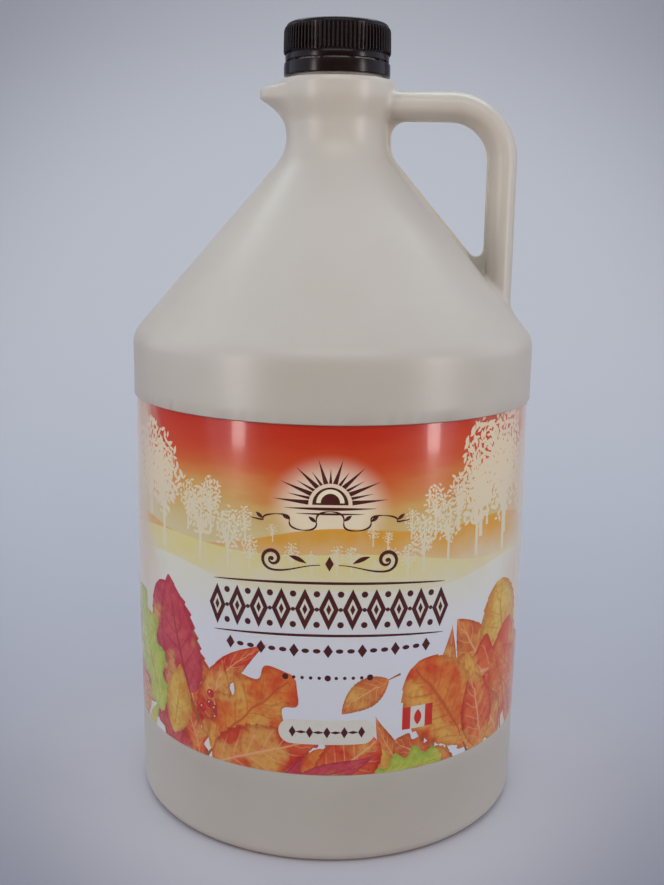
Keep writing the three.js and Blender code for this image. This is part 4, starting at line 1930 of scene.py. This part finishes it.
@dataclass
class WrapLabel:
    """The glossy printed film, wrapped round the body, whose ends nearly meet at the back."""

    zone: LabelZone
    fade_height: float
    thickness: float = 0.5
    seam_turn: float = math.radians(112)
    seam_gap: float = 1.2
    column: float = 2.4
    row: float = 8.0
    cut_error: float = 1e-5
    merge_turn: float = math.radians(0.8)
    normal_step: float = 0.5

    def build(self) -> Object:
        """Makes the film with its print, one material slot for each ink.

        Returns:
            The closed film.
        """
        radius = self.zone.radius
        right = (self.seam_turn + math.pi / 2) * radius - self.seam_gap / 2
        left = right - FULL_TURN * radius + self.seam_gap
        shapes = LabelPrint(left, right).draw()
        film = self._cut(shapes, left, right)
        outer = self._wrap(film.points, 0.0)
        inner = self._wrap(film.points, -self.thickness)
        count = len(film.points)
        closed = [*film.faces, *[tuple(count + corner for corner in face[::-1]) for face in film.faces]]
        edges = self._rim(film.faces)
        closed += [(b, a, count + a, count + b) for a, b in edges]
        sky, *others = [finish.material() for finish in label_finishes(self.zone)]
        piece = piece_from("label_film", np.concatenate([outer, inner]), closed, sky)
        for other in others:
            piece.data.materials.append(other)
        slots = film.inks + [Ink.SKY.value] * (len(closed) - len(film.inks))
        piece.data.polygons.foreach_set("material_index", slots)
        self._mark_leaves(piece, film, shapes)
        self._set_normals(piece, film.points, len(edges))
        LOG.info("label: %d shapes, %d faces on the outside", len(shapes), len(film.faces))
        return piece

    def _cut(self, shapes: list[Shape], left: float, right: float) -> FlatFilm:
        """Cuts the flat film along every outline and along the lines of a grid.

        Args:
            shapes: The print, from back to front.
            left: The film's left end.
            right: Its right end.

        Returns:
            The flat film.
        """
        across = np.linspace(left, right, math.ceil((right - left) / self.column) + 1)
        up = np.linspace(0, self.zone.height, math.ceil(self.zone.height / self.row) + 1)
        points = [Vector((x, y)) for y in up for x in across]
        cells = [tuple(face) for face in grid_faces(len(up), len(across))]
        outlines = []
        for shape in shapes:
            start = len(points)
            points += [Vector(point) for point in shape.outline.tolist()]
            outlines.append(tuple(range(start, start + len(shape.outline))))
        flat, _, pieces, _, _, owners = delaunay_2d_cdt(
            points, [], cells + outlines, 1, self.cut_error, True
        )
        faces, inks, tops = [], [], []
        for face, origins in zip(pieces, owners):
            if min(origins, default=len(cells)) >= len(cells):
                continue
            top = max(max(origins) - len(cells), -1)
            faces.append(tuple(face))
            tops.append(top)
            inks.append(shapes[top].ink.value if top >= 0 else Ink.SKY.value)
        film = FlatFilm(np.array([point[:] for point in flat]), faces, inks, tops)
        return self._merged(film, shapes, (left, across[1] - across[0], up[1]))

    def _merged(self, film: FlatFilm, shapes: list[Shape], grid: Place) -> FlatFilm:
        """Merges the triangles of one colour within each cell of the grid, to keep the film light.

        Args:
            film: The film with all its triangles.
            shapes: The print, from back to front.
            grid: Where the grid starts along the wrap, and the width and height of its cells.

        Returns:
            The lighter film.
        """
        start, wide, high = grid
        flat = bmesh.new()
        corners = [flat.verts.new((x, y, 0.0)) for x, y in film.points]
        owner = flat.faces.layers.int.new("owner")
        for face, ink, top in zip(film.faces, film.inks, film.tops):
            made = flat.faces.new([corners[corner] for corner in face])
            made.material_index = ink
            made[owner] = top
        loose = [corner for corner in flat.verts if not corner.link_faces]
        bmesh.ops.delete(flat, geom=loose, context="VERTS")
        for edge in flat.edges:
            (ax, ay, _), (bx, by, _) = (corner.co for corner in edge.verts)
            on_grid = self._on_line(ax, bx, start, wide) or self._on_line(ay, by, 0.0, high)
            sides = {face[owner] for face in edge.link_faces}
            leaves = len(sides) > 1 and any(top >= 0 and shapes[top].leaf_place for top in sides)
            edge.seam = bool(on_grid or leaves)
        bmesh.ops.dissolve_limit(
            flat,
            angle_limit=self.merge_turn,
            verts=flat.verts,
            edges=flat.edges,
            delimit={"MATERIAL", "SEAM"},
        )
        bmesh.ops.triangulate(flat, faces=flat.faces)
        flat.verts.index_update()
        lighter = FlatFilm(
            np.array([corner.co[:2] for corner in flat.verts]),
            [tuple(corner.index for corner in face.verts) for face in flat.faces],
            [face.material_index for face in flat.faces],
            [face[owner] for face in flat.faces],
        )
        flat.free()
        return lighter

    @staticmethod
    def _on_line(first: float, second: float, start: float, spacing: float) -> bool:
        """Tells whether both ends of an edge lie on one line of the grid."""
        line = (first - start) / spacing
        return abs(first - second) < 1e-4 and abs(line - round(line)) < 1e-3

    def _wrap(self, flat: np.ndarray, lift: float) -> np.ndarray:
        """Wraps flat points round the body.

        Args:
            flat: The flat points.
            lift: How far above the film's face they come to lie.

        Returns:
            The points round the body.
        """
        turn = flat[:, 0] / self.zone.radius - math.pi / 2
        z = self.zone.bottom + flat[:, 1]
        x, y = np.cos(turn), np.sin(turn)
        radius = self.zone.radius + self.zone.swell(z) + lift + uneven_wall(x, y, z, self.fade_height)
        return np.stack([x * radius, y * radius, z], 1)

    @staticmethod
    def _rim(faces: Faces) -> list[tuple[int, int]]:
        """Lists the edges that only one face has, in that face's direction."""
        sides = {(face[i], face[(i + 1) % len(face)]) for face in faces for i in range(len(face))}
        return [side for side in sides if side[::-1] not in sides]

    @staticmethod
    def _mark_leaves(piece: Object, film: FlatFilm, shapes: list[Shape]) -> None:
        """Writes where each corner of a leaf's faces lies on its leaf.

        Args:
            piece: The wrapped film, in whose mesh the flat film's faces come first.
            film: The flat film.
            shapes: The print.
        """
        corners = np.array(film.faces).ravel()
        owners = np.repeat(np.array(film.tops), 3)
        places = np.zeros((len(piece.data.loops), 3))
        for number in np.unique(owners):
            if number >= 0 and shapes[number].leaf_place is not None:
                mine = np.flatnonzero(owners == number)
                places[mine] = shapes[number].leaf_place(film.points[corners[mine]])
        layer = piece.data.attributes.new(LEAF_PLACE, "FLOAT_VECTOR", "CORNER")
        layer.data.foreach_set("vector", places.ravel())

    def _set_normals(self, piece: Object, flat: np.ndarray, rim_faces: int) -> None:
        """Gives the film the normals of its smooth surface, so that no printed edge shows in the gloss.

        Args:
            piece: The wrapped film, changed in place.
            flat: Its flat points.
            rim_faces: How many faces its rim has, which come last in the mesh.
        """
        step = self.normal_step
        ahead = self._wrap(flat + (step, 0), 0.0) - self._wrap(flat - (step, 0), 0.0)
        above = self._wrap(flat + (0, step), 0.0) - self._wrap(flat - (0, step), 0.0)
        normals = np.cross(ahead, above)
        normals /= np.linalg.norm(normals, axis=1)[:, None]
        both = np.concatenate([normals, -normals])
        mesh = piece.data
        corners = np.empty(len(mesh.loops), int)
        mesh.loops.foreach_get("vertex_index", corners)
        loops = both[corners]
        loops[len(loops) - 4 * rim_faces :] = 0.0
        mesh.normals_split_custom_set(loops.tolist())


def label_finishes(zone: LabelZone) -> list[Finish]:
    """Lists the label's finishes, in the order of the inks: sky, hills, trees, solid inks and leaves.

    Args:
        zone: Where the label lies.

    Returns:
        One finish for each ink.
    """
    low, high = zone.bottom * MM, zone.top * MM

    def height(rise: float) -> float:
        """Turns label millimetres into a height of the jug in metres."""
        return low + rise * MM

    paper, pale, amber = (0.742, 0.716, 0.748), (0.74, 0.69, 0.53), (0.74, 0.34, 0.04)
    stops = (
        (0.0, paper),
        (0.42, paper),
        (0.50, (0.70, 0.64, 0.50)),
        (0.60, (0.69, 0.58, 0.34)),
        (0.67, (0.68, 0.50, 0.22)),
        (0.74, (0.68, 0.37, 0.10)),
        (0.77, (0.69, 0.24, 0.06)),
        (0.82, (0.66, 0.120, 0.026)),
        (0.86, (0.64, 0.072, 0.016)),
        (0.92, (0.60, 0.046, 0.012)),
        (0.96, (0.56, 0.028, 0.009)),
        (1.0, (0.53, 0.022, 0.007)),
    )
    misty = (
        ("far_hill", amber, pale, 92, 66),
        ("mid_hill", (0.76, 0.63, 0.27), paper, 84, 52),
        ("near_hill", (0.75, 0.70, 0.57), paper, 74, 46),
        ("trees", (0.80, 0.63, 0.42), (0.76, 0.66, 0.46), 115, 80),
    )
    plain = (
        ("sun", (0.90, 0.80, 0.55), (0.90, 0.72, 0.42)),
        ("maroon", (0.075, 0.011, 0.011), (0.10, 0.018, 0.016)),
        ("cream", (0.75, 0.68, 0.58), (0.71, 0.64, 0.54)),
        ("red", (0.62, 0.03, 0.02), (0.66, 0.05, 0.03)),
        ("stalk", (0.34, 0.11, 0.03), (0.42, 0.17, 0.04)),
    )
    leaves = (
        ("orange", (0.80, 0.28, 0.05), (0.70, 0.08, 0.02), (0.52, 0.08, 0.02)),
        ("scarlet", (0.76, 0.15, 0.04), (0.62, 0.035, 0.02), (0.85, 0.42, 0.22)),
        ("crimson", (0.66, 0.10, 0.10), (0.52, 0.03, 0.06), (0.32, 0.02, 0.03)),
        ("ochre", (0.76, 0.48, 0.10), (0.66, 0.24, 0.04), (0.60, 0.22, 0.03)),
        ("green", (0.58, 0.60, 0.10), (0.38, 0.46, 0.06), (0.55, 0.22, 0.05)),
        ("rust", (0.74, 0.22, 0.06), (0.56, 0.09, 0.03), (0.82, 0.45, 0.18)),
    )
    return [
        SkyInk("label_sky", bottom=low, top=high, glow_height=height(99), stops=stops),
        *[
            FadingInk(
                f"label_{name}", upper=upper, lower=lower, fade_top=height(start), fade_bottom=height(end)
            )
            for name, upper, lower, start, end in misty
        ],
        *[PlainInk(f"label_{name}", ink=ink, thin=thin) for name, ink, thin in plain],
        *[
            LeafInk(f"label_leaf_{name}", heart=heart, edge=edge, vein=vein)
            for name, heart, edge, vein in leaves
        ],
        PlainInk("label_berry", ink=(0.55, 0.03, 0.03), thin=(0.70, 0.08, 0.04)),
    ]


@dataclass(frozen=True)
class Softbox:
    """One rectangular studio light that faces its target, in metres, watts and degrees."""

    name: str
    place: Place
    target: Place
    size: Pair
    power: float
    colour: Colour
    spread: float = 180.0

    def build(self) -> None:
        """Makes the light."""
        data = bpy.data.lights.new(self.name, "AREA")
        data.shape = "RECTANGLE"
        data.size, data.size_y = self.size
        data.energy = self.power
        data.color = self.colour
        data.spread = math.radians(self.spread)
        light = placed(self.name, data)
        light.location = self.place
        facing = Vector(self.target) - Vector(self.place)
        light.rotation_euler = facing.to_track_quat("-Z", "Y").to_euler()


@dataclass
class Studio:
    """Pale floor and backdrop, soft lights and the camera of the photograph, in metres."""

    camera_place: Place = (0.00023, -0.4358, 0.2313)
    camera_pitch: float = math.radians(11.587)
    camera_roll: float = math.radians(0.881)
    lens: float = 44.11
    sensor_width: float = 36.0
    floor_front: float = -0.32
    floor_half: float = 2.2
    backdrop: Place = (1.5, 2.6, 0.6)
    floor_colour: Colour = (0.435, 0.408, 0.447)
    # painted shade towards the corners of the floor and backdrop
    floor_painted_corner_shade: Colour = (0.266, 0.252, 0.292)
    side_light: Colour = (0.87, 1.03, 1.28)
    upper_light: Colour = (0.46, 0.55, 0.72)
    front_light: Colour = (0.20, 0.20, 0.165)
    jug_middle: Place = (0.0, 0.0, 0.18)
    above_jug: Place = (0.0, 0.0, 0.36)
    backdrop_middle: Place = (0.0, 1.35, 0.25)
    strip_size: Pair = (0.10, 0.60)
    strip_colour: Colour = (1.0, 0.91, 0.88)
    strip_spread: float = 60.0

    def build(self) -> None:
        """Makes the camera, the floor with its backdrop, the lights and the world."""
        self._camera()
        self._sweep()
        self._world()
        for light in self._lights():
            light.build()

    def _lights(self) -> list[Softbox]:
        """Lists the softboxes.

        Returns:
            One above the camera, one for the backdrop, and a strip at each side of the jug.
        """
        size, colour, spread = self.strip_size, self.strip_colour, self.strip_spread
        front, back = (0.82, 0.92, 1.0), (0.9, 1.0, 0.96)
        return [
            Softbox("high_front_light", (0.0, -0.5, 0.64), self.jug_middle, (0.7, 0.25), 1.37, front),
            Softbox("backdrop_light", (0.0, 0.75, 1.5), self.backdrop_middle, (2.2, 0.5), 22.0, back),
            Softbox("left_strip", (-0.575, -0.48, 0.33), self.above_jug, size, 0.262, colour, spread),
            Softbox("right_strip", (0.62, -0.42, 0.33), self.above_jug, size, 0.28, colour, spread),
        ]

    def _camera(self) -> None:
        """Makes the camera."""
        data = bpy.data.cameras.new("camera")
        data.lens = self.lens
        data.sensor_width = self.sensor_width
        camera = placed("camera", data)
        tilt = Matrix.Rotation(math.pi / 2 - self.camera_pitch, 4, "X")
        roll = Matrix.Rotation(self.camera_roll, 4, "Z")
        camera.matrix_world = Matrix.Translation(self.camera_place) @ tilt @ roll
        bpy.context.scene.camera = camera
        bpy.context.scene.view_settings.view_transform = "Standard"

    def _sweep(self) -> None:
        """Makes the floor, which curves up into the backdrop."""
        away, high, bend = (size / MM for size in self.backdrop)
        side = self.floor_half / MM
        line = rounded([(self.floor_front / MM, 0.0, 0.0), (away, 0.0, bend), (away, high, 0.0)], run=200.0)
        across = np.linspace(-side, side, 23)
        points = [(x, y, z) for y, z in line for x in across]
        middle = (0.0, math.cos(self.camera_pitch), -math.sin(self.camera_pitch))
        # the paper carries a painted pool of light and painted shade towards its corners
        paper = StudioPaper(
            "studio_paper", base=self.floor_colour, painted_corner_shade=self.floor_painted_corner_shade, eye=self.camera_place, middle=middle
        ).material()
        floor = piece_from("studio_sweep", np.array(points), grid_faces(len(line), len(across)), paper)

    def _world(self) -> None:
        """Makes the light of the room: pale all round, but dark behind the camera."""
        world = bpy.data.worlds.new("studio")
        world.use_nodes = True
        world.node_tree.nodes.clear()
        sheet = NodeSheet(world.node_tree)
        _, away, up = sheet.parts(sheet.add("ShaderNodeTexCoord", output="Generated"))
        around = sheet.mix(up.step(0.1, 0.8), self.side_light, self.upper_light)
        colour = sheet.mix(away.step(-0.95, -0.2), self.front_light, around)
        shade = sheet.add("ShaderNodeBackground", inputs={"Color": colour})
        sheet.add("ShaderNodeOutputWorld", inputs={"Surface": shade})
        bpy.context.scene.world = world


def dress(piece: Object, node: str) -> None:
    """Fixes a piece to the jug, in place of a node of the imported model.

    Args:
        piece: The piece.
        node: The node that it replaces.
    """
    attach(piece, BODY_NAME)
    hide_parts(node)
    LOG.info("%s: %d faces, replaces %s", piece.name, len(piece.data.polygons), node)


def main() -> None:
    """Builds the jug, its label and its cap in the studio."""
    logging.basicConfig(level=logging.INFO, format="%(message)s")
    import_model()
    low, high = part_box("label")
    zone = LabelZone(bottom=low[2] / MM, top=high[2] / MM, radius=high[0] / MM - LabelZone.bulge)

    jug = JugMoulding(zone)
    dress(jug.build(MouldedPlastic("jug_plastic").material()), "jug")
    dress(WrapLabel(zone, jug.wall_fade_height).build(), "label")
    for piece in ScrewCap(UprightRing()).build(CapPlastic("cap_plastic").material()):
        dress(piece, "cap")
    Studio().build()


if __name__ == "__main__":
    main()
